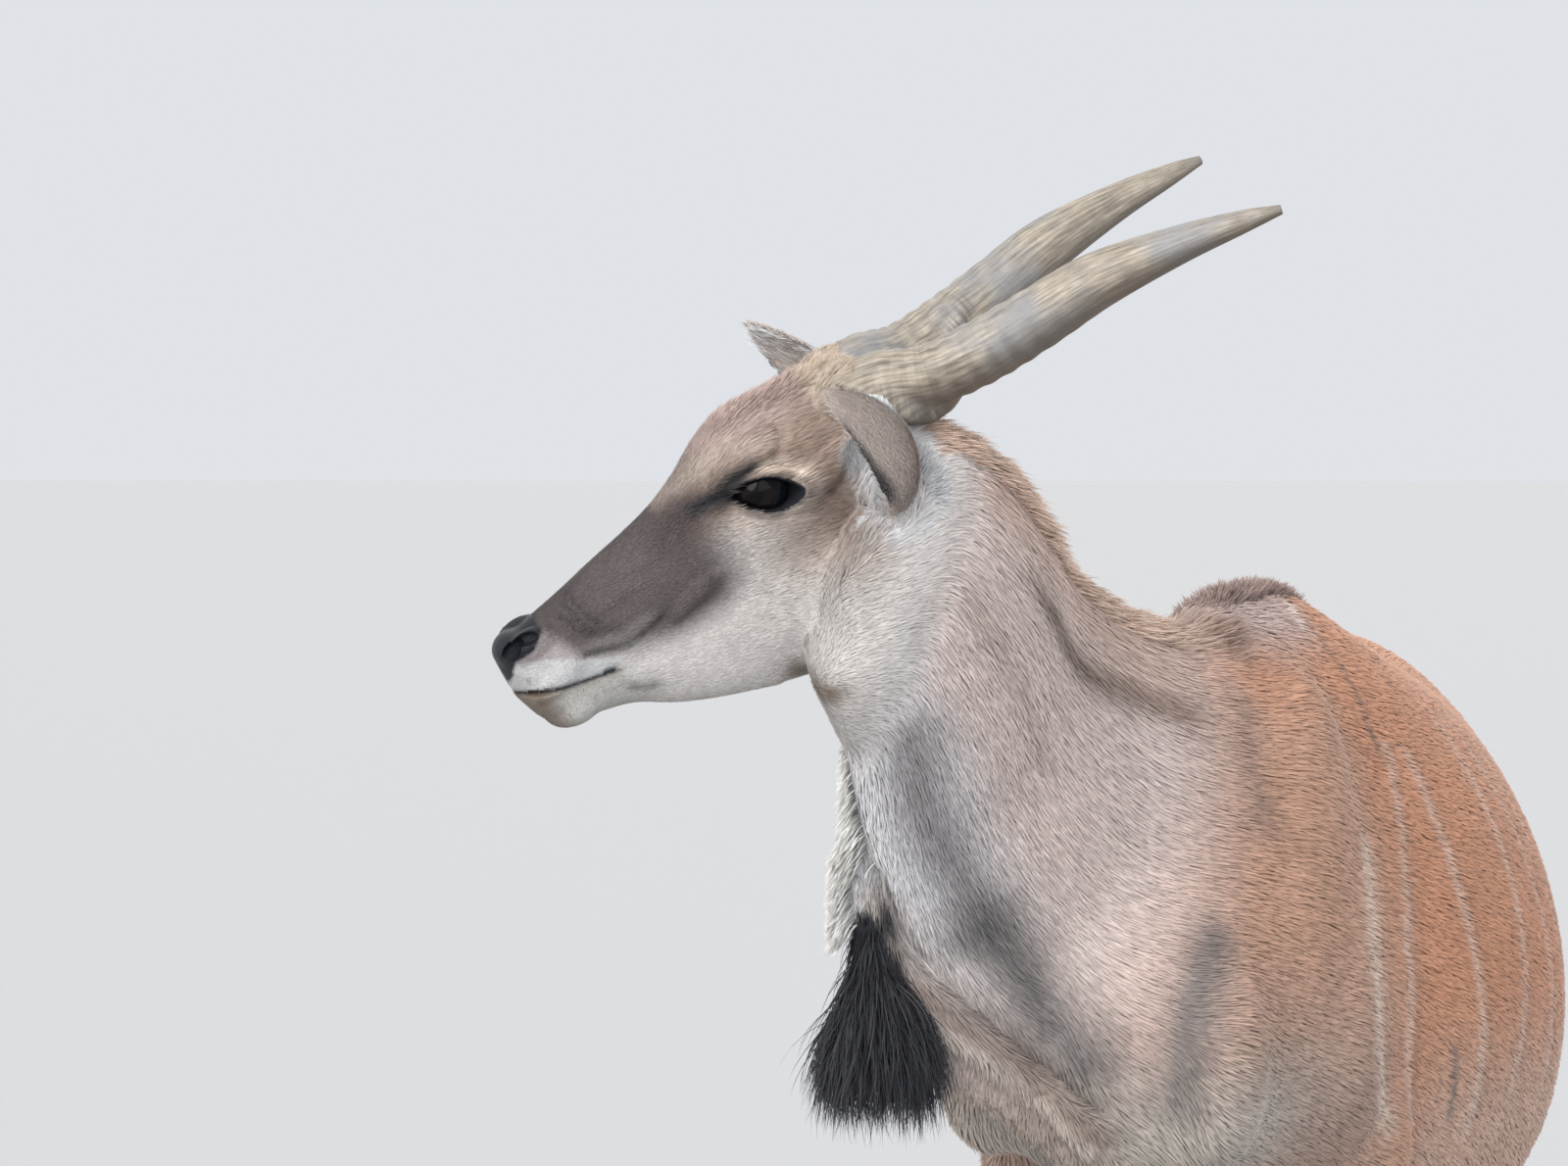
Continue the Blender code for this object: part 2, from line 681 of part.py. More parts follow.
EAR_ROOT = np.array([-0.116, 0.078, -0.088])
EAR_TIP = np.array([-0.092, 0.210, 0.092])
# share of the length, half width, depth of the cup, how far the front closes
EAR_ROWS = [
    (0.00, 0.022, 0.018, 1.0),
    (0.12, 0.028, 0.024, 1.0),
    (0.24, 0.036, 0.032, 0.2),
    (0.40, 0.044, 0.036, -1.0),
    (0.60, 0.042, 0.029, -1.0),
    (0.78, 0.030, 0.020, -1.0),
    (0.92, 0.014, 0.010, -1.0),
    (1.00, 0.004, 0.004, -1.0),
]


def ear(name, side, grow=0.0, share=1.0, closed=False):
    """A cupped ear: a round root that opens into a thin-walled scoop with a pointed tip."""
    axis = EAR_TIP - EAR_ROOT
    length = np.linalg.norm(axis)
    axis /= length
    mouth = np.array([0.90, -0.45, 0.20])
    mouth -= axis * (mouth @ axis)
    mouth /= np.linalg.norm(mouth)
    across = np.cross(axis, mouth)
    rings = []
    count, steps = 13, 6
    for row in smooth_rows(EAR_ROWS, count):
        if row[0] > share:
            break
        half, depth, close = row[1] + grow, row[2] + grow, min(1.0, max(-1.0, row[3]))
        bow = mouth * (0.018 * math.sin(math.pi * row[0]))
        centre = EAR_ROOT + axis * (length * row[0] - (grow if row[0] == 0 else 0)) - bow
        points = []
        for k in range(steps + 1):
            turn = math.pi * k / steps
            points.append(centre + across * half * math.cos(turn) - mouth * depth * math.sin(turn))
        wall = min(EAR_WALL, 0.6 * depth)
        if closed:
            close = 1.0
        inner = depth * close if close > 0 else (depth - wall) * close
        for k in range(steps - 1, 0, -1):
            turn = math.pi * k / steps
            points.append(centre + across * (half - 0.35 * wall) * math.cos(turn)
                          + mouth * inner * math.sin(turn))
        rings.append([on_head(p[0], p[1] * side, p[2]) for p in points])
    return stitch(name, rings)


# Long hair, as flat tapered locks: how deep each is rooted, and the size and number of each kind
LOCK_SINK = 0.014
LOCK_STEPS = 3
LOCK_TAPER = (0.50, 1.0, 0.72)
MANE_FROM = 0.07
MANE_TO = 0.91
MANE_STATIONS = 13
MANE_SIZE = (0.088, 0.050, 0.020)
MANE_SPREAD = 0.026
CREST_FROM = -0.15
CREST_TO = 0.18
CREST_STATIONS = 15
CREST_SIZE = (0.066, 0.046, 0.017)
CREST_SPREAD = 0.020
TUFT_STATIONS = 5
TUFT_COLUMNS = 6
TUFT_WIDTH = 0.046
TUFT_THICKNESS = 0.017
TAIL_LINE = 1.432
TAIL_TUFT_TOP = 0.660
TAIL_TUFT_FALL = 0.13
TAIL_LOCKS = 10
TAIL_SIZE = (0.165, 0.032, 0.014)
GOLDEN_TURN = math.radians(137.5)
FORELOCK_ROWS = 3
FORELOCK_SIZE = (0.040, 0.030, 0.010)

# The throat's own directions, to the left and ahead, level with the ground
THROAT_LEFT = np.array([0.55, -0.835, 0.0])
THROAT_AHEAD = np.array([-0.835, -0.55, 0.0])
# centre and half widths of the dewlap tuft's core, from the top down
TUFT_CORE = [
    (-0.385, -0.475, 1.125, 0.016, 0.022),
    (-0.392, -0.478, 1.070, 0.026, 0.034),
    (-0.394, -0.482, 1.020, 0.034, 0.044),
    (-0.392, -0.484, 0.985, 0.030, 0.040),
    (-0.390, -0.484, 0.962, 0.014, 0.020),
]
# roots of the dewlap tuft's locks, from the top down, and how far each hangs
TUFT_EDGE = [
    (-0.400, -0.484, 1.110, 0.125),
    (-0.402, -0.483, 1.060, 0.145),
    (-0.397, -0.481, 1.015, 0.135),
    (-0.390, -0.482, 0.985, 0.108),
]


def hump_height(y):
    """Height of the back line of the torso at a station."""
    stations = [-0.27, -0.14, 0.00, 0.14, 0.35]
    heights = [1.280, 1.405, 1.432, 1.427, 1.373]
    return float(np.interp(y, stations, heights))


def tuft_form():
    """The dense root of the dewlap's tuft, which reaches half way to its tips."""
    rings = []
    for x, y, z, half, deep in smooth_rows(TUFT_CORE, 16):
        rings.append(ring((x, y, z), THROAT_LEFT, THROAT_AHEAD, half, deep, deep, 2.0, 2.0, 14))
    return stitch("tuft_form", rings)


def lock(root, rise, fall, flat, length, width, thick):
    """A closed lock: flat-sided rings that taper from the root to a point, bending from rise to fall."""
    rise, fall = unit(rise), unit(fall)
    side = unit(np.cross(flat, rise))
    points = [np.asarray(root, float) - rise * LOCK_SINK]
    for step in range(LOCK_STEPS):
        heading = unit(rise * (1 - (step + 1) / LOCK_STEPS) + fall * (step + 0.6) / LOCK_STEPS)
        points.append(points[-1] + heading * (length + LOCK_SINK) / LOCK_STEPS)
    corners = []
    for i, (centre, share) in enumerate(zip(points[:-1], LOCK_TAPER)):
        ahead = unit(points[i + 1] - centre)
        across = unit(side - ahead * (side @ ahead))
        out = np.cross(ahead, across)
        for a, b in ((1, 0), (0, 1), (-1, 0), (0, -1)):
            corners.append(centre + across * (a * share * width / 2) + out * (b * share * thick / 2))
    tip = len(corners)
    corners.append(points[-1])
    faces = [(3, 2, 1, 0)]
    for row in range(LOCK_STEPS - 1):
        for k in range(4):
            a, b = 4 * row + k, 4 * row + (k + 1) % 4
            faces.append((a, b, b + 4))
            faces.append((a, b + 4, a + 4))
    for k in range(4):
        faces.append((tip - 4 + k, tip - 4 + (k + 1) % 4, tip))
    return mesh_object("lock", corners, faces)


def mane_locks():
    """Short hair that stands along the nape and leans towards the withers."""
    draw = random.Random(11)
    locks = []
    frames = neck_frames(200)
    full, width, thick = MANE_SIZE
    for column, offset in ((-1, 0.0), (0, 0.5), (1, 0.25)):
        for station in range(MANE_STATIONS):
            share = (station + offset) / MANE_STATIONS
            place = MANE_FROM + share * (MANE_TO - MANE_FROM)
            centre, left, nape, above = frames[int(place * len(frames))][:4]
            back = np.cross(left, nape) * -1
            length = full * (0.6 + 0.4 * min(1.0, 3.0 * share)) * draw.uniform(0.9, 1.1)
            root = centre + nape * above * (0.985 if column == 0 else 0.93) + left * column * MANE_SPREAD
            rise = nape * 0.58 + back * draw.uniform(0.9, 1.1) + left * column * 0.30
            fall = nape * 0.18 + back + left * column * draw.uniform(0.1, 0.4)
            locks.append(lock(root, rise, fall, nape, length, width, thick))
    return locks


def crest_locks():
    """The darker hair along the top of the hump."""
    draw = random.Random(12)
    locks = []
    full, width, thick = CREST_SIZE
    for station in range(CREST_STATIONS):
        share = (station + 0.5) / CREST_STATIONS
        y = CREST_FROM + share * (CREST_TO - CREST_FROM)
        column = (station % 3) - 1
        length = full * (0.6 + 0.4 * math.sin(math.pi * share)) * draw.uniform(0.9, 1.1)
        left = body_left(y)
        back = np.cross(UP, left)
        root = on_body(column * CREST_SPREAD, y, hump_height(y) - 0.004 - 0.006 * abs(column))
        rise = UP * 0.8 + back + left * column * 0.4
        fall = UP * 0.25 + back + left * column * draw.uniform(0.1, 0.4)
        locks.append(lock(root, rise, fall, UP, length, width, thick))
    return locks


def tuft_locks():
    """The long hair that hangs from the edge of the dewlap."""
    draw = random.Random(13)
    locks = []
    edge = smooth_rows(TUFT_EDGE, TUFT_STATIONS)
    for station, (x, y, z, reach) in enumerate(edge):
        for column in range(TUFT_COLUMNS):
            turn = 2 * math.pi * (column + 0.5 * (station % 2)) / TUFT_COLUMNS + draw.uniform(-0.2, 0.2)
            out = THROAT_LEFT * math.cos(turn) + THROAT_AHEAD * math.sin(turn)
            root = np.array([x, y, z]) + out * 0.010
            length = reach * draw.uniform(0.86, 1.04)
            rise = out * 0.9 - UP * 0.8 + THROAT_AHEAD * 0.10
            fall = out * draw.uniform(-0.05, 0.25) - UP
            locks.append(lock(root, rise, fall, out, length, TUFT_WIDTH, TUFT_THICKNESS))
    return locks


def tail_locks():
    """The tuft at the end of the tail."""
    draw = random.Random(14)
    locks = []
    full, width, thick = TAIL_SIZE
    for station in range(TAIL_LOCKS):
        turn = GOLDEN_TURN * station
        share = station / TAIL_LOCKS
        out = np.array([math.cos(turn), math.sin(turn), 0.0])
        root = np.array([0.0, TAIL_LINE, TAIL_TUFT_TOP - TAIL_TUFT_FALL * share]) + out * 0.008
        rise = out * 0.5 - UP
        fall = out * draw.uniform(-0.15, 0.1) - UP
        locks.append(lock(root, rise, fall, out, full * draw.uniform(0.9, 1.1), width, thick))
    return locks


def forelock():
    """Short tufts on the forehead and the bump between the horns."""
    draw = random.Random(15)
    locks = []
    for row in range(FORELOCK_ROWS):
        for column in (-1, 0, 1):
            ahead = -0.005 - 0.042 * row + 0.012 * abs(column)
            side = column * 0.024 + draw.uniform(-0.004, 0.004)
            root = on_head(ahead, side, 0.064 - 0.006 * abs(column))
            rise = HEAD_UP * 0.7 - HEAD_FORWARD * 0.7 + HEAD_LEFT * column * 0.3
            fall = HEAD_UP * 0.25 - HEAD_FORWARD + HEAD_LEFT * column * draw.uniform(0.0, 0.3)
            locks.append(lock(root, rise, fall, HEAD_UP, *FORELOCK_SIZE))
    return locks


def fused(made, pieces):
    """The object with closed pieces fused to it by one union."""
    group = bpy.data.collections.new("pieces")
    bpy.context.scene.collection.children.link(group)
    for piece in pieces:
        bpy.context.scene.collection.objects.unlink(piece)
        group.objects.link(piece)
    step = made.modifiers.new("fuse", "BOOLEAN")
    step.operation = "UNION"
    step.operand_type = "COLLECTION"
    step.collection = group
    evaluated(made)
    for piece in pieces:
        bpy.data.objects.remove(piece, do_unlink=True)
    bpy.data.collections.remove(group)
    return largest_only(made)


# Build

def unit(vector):
    return np.asarray(vector, float) / np.linalg.norm(vector)


def frame_of(origin, along, ahead):
    """A box frame: x along, z as near as may be to ahead, y square to both."""
    x = unit(along)
    z = unit(np.asarray(ahead) - x * (np.asarray(ahead) @ x))
    return (origin, x, np.cross(z, x), z)


HEAD_CUT = frame_of(on_head(-0.200, 0, -0.060), HEAD_FORWARD * 0.788 - HEAD_UP * 0.616,
                    HEAD_FORWARD * 0.616 + HEAD_UP * 0.788)
NECK_CUT = frame_of((-0.170, -0.290, 1.170), (0.296, 0.355, 0.887), (-0.346, -0.816, 0.442))
DEWLAP_CUT = frame_of((-0.350, -0.460, 1.060), (0.505, 0.490, -0.710), (-0.647, -0.330, -0.688))
LEVEL = (np.zeros(3), np.array([1.0, 0, 0]), np.array([0, 1.0, 0]), UP)


def build_body():
    trunk = melted(joined("trunk", [torso_form(), neck_form()] + torso_muscles()), TORSO_VOXEL, 28)
    forms = [trunk, neck_form(0.62), head_form(), dewlap_form(), tail_form(), tuft_form()]
    for place in (FORE_LEFT, FORE_RIGHT):
        forms += foreleg_form(*place)
    for place in (HIND_LEFT, HIND_RIGHT):
        forms += hindleg_form(*place)
    whole = clay("whole", forms, BODY_VOXEL, 6, BODY_TRIANGLES)
    fused(whole, mane_locks() + crest_locks() + tuft_locks() + tail_locks())
    boolean(whole, box("floor", LEVEL, (-2, -2, -1), (2, 3, HOOF_HEIGHT)), "DIFFERENCE")
    boolean(whole, box("head_side", HEAD_CUT, (-0.6, -0.5, -GAP / 2), (0.9, 0.5, 1.0)), "DIFFERENCE")
    finish(parted(whole, "dewlap", DEWLAP_CUT, (-0.17, -0.12, 0), (0.21, 0.12, 0.40)), "dewlap", COAT_GREY)
    finish(parted(whole, "neck", NECK_CUT, (-0.5, -0.4, 0), (0.5, 0.4, 0.9)), "neck", COAT_GREY)
    finish(parted(whole, "tail", LEVEL, (-0.1, 1.375, 0.2), (0.1, 1.6, 1.4)), "tail", COAT_TAN)
    for leg, (side, along), top, knee in LEGS:
        x, y, _ = on_body(side, along, 0)
        low = (x - 0.10, y - 0.15, 0)
        high = (x + 0.10, y + 0.15, top)
        upper = parted(whole, leg, LEVEL, low, high)
        lower = parted(upper, leg + "_cannon", LEVEL, low, (high[0], high[1], knee))
        finish(lower, leg + "_cannon", COAT_PALE)
        finish(largest_only(upper), leg, COAT_PALE)
        hoof(leg + "_hoof", side, along - 0.02)
    return finish(largest_only(whole), "torso", COAT_TAN)


LEGS = [
    ("foreleg_left", FORE_LEFT, 0.65, 0.43),
    ("foreleg_right", FORE_RIGHT, 0.65, 0.43),
    ("hindleg_left", HIND_LEFT, 0.625, 0.49),
    ("hindleg_right", HIND_RIGHT, 0.625, 0.49),
]


def build_head():
    """The head, with its eyes, horns and ears set in sockets."""
    pieces = [head_form(), neck_form()] + head_details()
    head = clay("head", pieces, HEAD_VOXEL, 4, 10 ** 7)
    for side in (1, -1):
        for cutter in [eye_opening(side), mouth_cutter(side)] + nostril_cutter(side):
            boolean(head, cutter, "DIFFERENCE")
    melted(head, 0.9 * HEAD_VOXEL, 0)
    boolean(head, box("head_side", HEAD_CUT, (-0.6, -0.5, GAP / 2), (0.9, 0.5, 1.0)), "INTERSECT")
    thinned(head, HEAD_TRIANGLES)
    fused(head, forelock())
    for side, word in ((1, "left"), (-1, "right")):
        boolean(head, eye_ball("socket", side, GAP), "DIFFERENCE")
        boolean(head, horn("socket", side, GAP, 0.45), "DIFFERENCE")
        boolean(head, ear("socket", side, GAP, 0.75, True), "DIFFERENCE")
        finish(eye_ball("eye_" + word, side, 0.0), "eye_" + word, EYE)
        finish(horn("horn_" + word, side), "horn_" + word, HORN)
        finish(ear("ear_" + word, side), "ear_" + word, COAT_GREY)
    return finish(largest_only(head), "head", COAT_GREY)


def centre_on_floor():
    """Move the whole animal so that the middle of its box's floor is the origin."""
    solids = [made for made in bpy.data.objects if made.type == "MESH"]
    points = np.array([made.matrix_world @ v.co for made in solids for v in made.data.vertices])
    middle = (points.min(axis=0) + points.max(axis=0)) / 2
    shift = Vector((-middle[0], -middle[1], -points[:, 2].min()))
    for made in solids:
        made.location += shift


build_body()
build_head()
centre_on_floor()
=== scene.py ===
# %% [markdown]
# # An eland, looking over its shoulder
# The eland is the largest antelope: an ox-sized animal with a deep body, a fold of skin under the
# throat that ends in a tuft, a short mane, and two straight horns with a twisted keel. This lesson
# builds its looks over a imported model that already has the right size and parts. The steps are the
# camera, one skin for all flesh, the head's fine forms, colours, eyes, horns, hooves, the coat and
# the long hair, and at last floor and light.

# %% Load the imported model
import contextlib
import json
import math

import bmesh
import bpy
import numpy as np
from mathutils import Matrix, Vector
from mathutils.bvhtree import BVHTree

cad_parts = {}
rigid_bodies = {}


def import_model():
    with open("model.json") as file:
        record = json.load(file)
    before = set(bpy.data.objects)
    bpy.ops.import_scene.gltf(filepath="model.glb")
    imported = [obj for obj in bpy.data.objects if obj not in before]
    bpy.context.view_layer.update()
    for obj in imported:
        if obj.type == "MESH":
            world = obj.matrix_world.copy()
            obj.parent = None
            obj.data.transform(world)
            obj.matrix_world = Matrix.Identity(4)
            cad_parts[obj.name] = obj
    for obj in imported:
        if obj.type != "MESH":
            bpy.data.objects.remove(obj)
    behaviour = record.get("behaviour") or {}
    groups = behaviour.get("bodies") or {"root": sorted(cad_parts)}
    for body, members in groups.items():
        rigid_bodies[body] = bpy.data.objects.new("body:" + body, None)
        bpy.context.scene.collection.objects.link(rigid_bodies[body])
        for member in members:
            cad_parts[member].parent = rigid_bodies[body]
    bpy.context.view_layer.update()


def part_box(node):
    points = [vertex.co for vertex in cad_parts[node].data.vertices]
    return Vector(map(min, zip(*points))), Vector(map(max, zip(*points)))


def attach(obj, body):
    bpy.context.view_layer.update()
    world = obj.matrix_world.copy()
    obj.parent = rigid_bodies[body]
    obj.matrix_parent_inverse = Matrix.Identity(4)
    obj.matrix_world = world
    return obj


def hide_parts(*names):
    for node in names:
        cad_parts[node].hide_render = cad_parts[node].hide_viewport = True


for old in list(bpy.data.objects):
    bpy.data.objects.remove(old, do_unlink=True)
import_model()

# %% [markdown]
# ## Where the animal stands
# The animal is measured in a frame of its own: x to its left, y towards its tail, z up. Its head
# has a second frame: ahead along the nose, side to its left, and height towards the crown. The
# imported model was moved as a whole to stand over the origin, so one known point, the middle of the
# left eye, tells how far.

# %% The two frames
UP = np.array([0.0, 0.0, 1.0])
HEAD_ORIGIN = np.array([-0.508, -0.661, 1.552])
HEAD_YAW = math.radians(12)
HEAD_PITCH = math.radians(31)
HEAD_ROLL = math.radians(12)
EYE_CENTRE = np.array([-0.002, 0.052, -0.001])
EYE_RADIUS = 0.031


def unit(vector):
    return np.asarray(vector, float) / np.linalg.norm(vector)


def head_axes():
    """Forward, left and up of the head, turned, pitched down and rolled."""
    forward = np.array([-math.cos(HEAD_YAW) * math.cos(HEAD_PITCH),
                        -math.sin(HEAD_YAW) * math.cos(HEAD_PITCH), -math.sin(HEAD_PITCH)])
    level = np.array([-math.sin(HEAD_YAW), math.cos(HEAD_YAW), 0.0])
    crown = np.cross(level, forward)
    left = -(level * math.cos(HEAD_ROLL) + crown * math.sin(HEAD_ROLL))
    return np.array([forward, left, np.cross(forward, left)])


HEAD = head_axes()


def on_head(ahead, side, height):
    """Places ahead, to the left and up in the head's frame, in the animal's frame."""
    outer = np.multiply.outer
    return HEAD_ORIGIN + outer(ahead, HEAD[0]) + outer(side, HEAD[1]) + outer(height, HEAD[2])


def on_side(local, side):
    """Rows of ahead, side and height, on the left or, mirrored, on the right of the head."""
    return on_head(*(np.asarray(local) * [1, side, 1]).T)


def head_local(points):
    """Ahead, side and height of points in the head's frame."""
    return (np.asarray(points) - HEAD_ORIGIN) @ HEAD.T


eye_low, eye_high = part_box("eye_left")
SHIFT = np.array((eye_low + eye_high) / 2) - on_head(*EYE_CENTRE)
print("the animal is moved by", SHIFT.round(4))

# %% [markdown]
# ## The camera
# The photograph was taken from far away with a long lens, a little above the eye, so lines stay
# nearly parallel. A long focal length in Blender and a distant camera give the same calm
# perspective. The lens is set from the picture's width, so that it holds at any render size.

# %% The camera
CAMERA_PLACE = np.array([0.505, -8.603, 1.61])
CAMERA_TURN = math.radians(7)
CAMERA_DIP = math.atan(0.0206)
SENSOR_WIDTH = 36.0
LENS_OVER_WIDTH = 5.0


def linked(name, data):
    """A new object that shows a mesh, a lens or a lamp."""
    made = bpy.data.objects.new(name, data)
    bpy.context.scene.collection.objects.link(made)
    return made


lens = bpy.data.cameras.new("photo_camera")
lens.sensor_width = SENSOR_WIDTH
lens.lens = SENSOR_WIDTH * LENS_OVER_WIDTH
camera = linked("photo_camera", lens)
camera.location = CAMERA_PLACE + SHIFT
camera.rotation_euler = (math.pi / 2 - CAMERA_DIP, 0, CAMERA_TURN)
bpy.context.scene.camera = camera
print("lens", lens.lens, "mm at", camera.location)

# %% [markdown]
# ## Tools for round forms
# Every limb is a row of rings, each an egg shape with its own reach above and below. A smooth curve
# through a few measured rings gives as many rings as the form needs, and a skin is stitched over
# them. Muscles and bones are ellipsoids pressed into the form.

# %% Rings, skins and lumps


@contextlib.contextmanager
def opened(mesh):
    """A mesh taken apart for work on it, and written back afterwards."""
    work = bmesh.new()
    work.from_mesh(mesh)
    yield work
    work.to_mesh(mesh)
    work.free()


def face_outwards(work):
    bmesh.ops.recalc_face_normals(work, faces=work.faces)
    if work.calc_volume(signed=True) < 0:
        bmesh.ops.reverse_faces(work, faces=work.faces)


def mesh_object(name, points, faces):
    mesh = bpy.data.meshes.new(name)
    mesh.from_pydata([tuple(p) for p in points], [], faces)
    with opened(mesh) as work:
        face_outwards(work)
    return linked(name, mesh)


def stitch(name, rings):
    """A closed skin through rings of equal point counts, with a fan over each end."""
    sides = len(rings[0])
    points = [p for ring in rings for p in ring]
    faces = []
    for row in range(len(rings) - 1):
        for k in range(sides):
            a = row * sides + k
            b = row * sides + (k + 1) % sides
            faces.append((a, b, b + sides, a + sides))
    for row in (0, len(rings) - 1):
        centre = len(points)
        points.append(np.mean(rings[row], axis=0))
        for k in range(sides):
            faces.append((row * sides + k, row * sides + (k + 1) % sides, centre))
    return mesh_object(name, points, faces)


def smooth_rows(rows, count):
    """Rows of numbers read from a smooth curve through the given rows."""
    rows = np.asarray(rows, float)
    last = len(rows) - 1
    result = []
    for s in np.linspace(0, last, count):
        i = min(int(s), last - 1)
        t = s - i
        before = rows[max(i - 1, 0)]
        after = rows[min(i + 2, last)]
        p, q = rows[i], rows[i + 1]
        slope_p = (q - before) / (2 if i > 0 else 1)
        slope_q = (after - p) / (2 if i + 2 <= last else 1)
        result.append((2 * t**3 - 3 * t**2 + 1) * p + (t**3 - 2 * t**2 + t) * slope_p
                      + (3 * t**2 - 2 * t**3) * q + (t**3 - t**2) * slope_q)
    return result


def egg(centre, left, up, half, above, below, power_above=2.0, power_below=2.0, sides=40):
    """An egg-shaped ring: half its width to each side, and its own reach above and below."""
    turn = 2 * math.pi * np.arange(sides) / sides
    c, s = np.cos(turn), np.sin(turn)
    reach = np.where(s >= 0, above, below)
    power = np.where(s >= 0, power_above, power_below)
    wide = np.sign(c) * np.abs(c) ** (2 / power) * half
    high = np.sign(s) * np.abs(s) ** (2 / power) * reach
    return np.asarray(centre) + np.outer(wide, left) + np.outer(high, up)


def lump(centre, radii, axes=((1, 0, 0), (0, 1, 0), (0, 0, 1))):
    """An ellipsoid of flesh or bone."""
    mesh = bpy.data.meshes.new("lump")
    with opened(mesh) as work:
        bmesh.ops.create_icosphere(work, subdivisions=4, radius=1.0)
    matrix = Matrix([Vector(a) * r for a, r in zip(axes, radii)]).transposed().to_4x4()
    matrix.translation = Vector(centre)
    mesh.transform(matrix)
    return linked("lump", mesh)


# %% [markdown]
# ## Melting forms together
# Separate forms meet in hard creases. A voxel remesh runs them into one closed skin, as clay is
# pressed together, and smoothing rounds the joins. A coarse voxel and many smoothing steps suit
# the trunk, and a fine voxel with few steps keeps the small forms of the head.

# %% Clay tools


def evaluated(made):
    """The object with its modifiers applied."""
    mesh = bpy.data.meshes.new_from_object(made.evaluated_get(bpy.context.evaluated_depsgraph_get()))
    made.modifiers.clear()
    made.data = mesh
    return made


def joined(name, pieces):
    mesh = bpy.data.meshes.new(name)
    with opened(mesh) as work:
        for piece in pieces:
            work.from_mesh(piece.data)
            bpy.data.objects.remove(piece, do_unlink=True)
    return linked(name, mesh)


def melted(made, voxel, smoothing):
    remesh = made.modifiers.new("melt", "REMESH")
    remesh.mode = "VOXEL"
    remesh.voxel_size = voxel
    if smoothing:
        smooth = made.modifiers.new("smooth", "SMOOTH")
        smooth.factor = 0.5
        smooth.iterations = smoothing
    return evaluated(made)


def cut_by(made, cutter):
    step = made.modifiers.new("cut", "BOOLEAN")
    step.operation = "DIFFERENCE"
    step.object = cutter
    evaluated(made)
    bpy.data.objects.remove(cutter, do_unlink=True)


# %% [markdown]
# ## The trunk and the neck
# The spine bends towards the side that the animal looks to. The trunk is lofted along the bent
# spine: a narrow chest, a hump over the shoulders, a round barrel and a sloping rump. The neck has
# rows of its own, from behind the ears down into the chest.

# %% Trunk
BEND = 0.42
BEND_FROM = 0.35


def spine_x(y):
    return -BEND * np.maximum(0.0, BEND_FROM - y) ** 2


def body_left(y):
    return unit([1.0, -2 * BEND * max(0.0, BEND_FROM - y), 0.0])


def on_body(side, y, z):
    """A point at a distance to the left of the spine, at a station along it and a height."""
    return np.array([spine_x(y), y, z]) + body_left(y) * side


# along, height of the widest line, half width, reach above, reach below, roundness above and below
TRUNK_ROWS = [
    (-0.40, 0.985, 0.040, 0.06, 0.08, 2.0, 2.0),
    (-0.36, 0.985, 0.095, 0.17, 0.17, 2.0, 2.0),
    (-0.27, 0.980, 0.145, 0.30, 0.22, 1.9, 2.0),
    (-0.14, 0.975, 0.172, 0.435, 0.26, 1.6, 2.0),
    (0.00, 0.970, 0.185, 0.462, 0.28, 1.45, 2.0),
    (0.14, 0.955, 0.205, 0.480, 0.29, 1.5, 2.1),
    (0.35, 0.945, 0.264, 0.442, 0.31, 1.75, 2.1),
    (0.55, 0.935, 0.296, 0.424, 0.33, 1.85, 2.2),
    (0.75, 0.945, 0.290, 0.404, 0.33, 1.85, 2.2),
    (0.92, 0.990, 0.254, 0.370, 0.35, 1.8, 2.1),
    (1.08, 1.035, 0.220, 0.310, 0.30, 1.7, 2.0),
    (1.20, 1.040, 0.185, 0.235, 0.25, 1.8, 2.0),
    (1.30, 1.030, 0.135, 0.160, 0.17, 2.0, 2.0),
    (1.36, 1.010, 0.050, 0.080, 0.08, 2.0, 2.0),
]


def trunk_form():
    rings = []
    for y, z, half, above, below, power_above, power_below in smooth_rows(TRUNK_ROWS, 90):
        rings.append(egg(on_body(0, y, z), body_left(y), UP, half, above, below,
                         power_above, power_below, 64))
    return stitch("trunk", rings)


def trunk_muscles():
    """Shoulders, chest, hips and thighs."""
    forms = []
    for side in (1, -1):
        lean = np.array([0.0, 0.28, 0.96])
        left = body_left(-0.05) * side
        forms.append(lump(on_body(0.118 * side, -0.09, 1.10), (0.050, 0.12, 0.25),
                          (left, np.cross(left, lean), lean)))
        forms.append(lump(on_body(0.135 * side, -0.02, 0.93), (0.048, 0.13, 0.14)))
        point = (0.125, -0.27) if side > 0 else (-0.150, -0.29)
        forms.append(lump(on_body(*point, 0.93), (0.062, 0.085, 0.12)))
        forms.append(lump(on_body(0.130 * side, 0.98, 1.18), (0.062, 0.13, 0.09)))
        forms.append(lump(on_body(0.125 * side, 1.07, 0.94), (0.098, 0.20, 0.27)))
        forms.append(lump(on_body(0.100 * side, 1.22, 0.96), (0.072, 0.12, 0.22)))
        forms.append(lump(on_body(0.085 * side, 1.28, 1.15), (0.035, 0.06, 0.05)))
    return forms


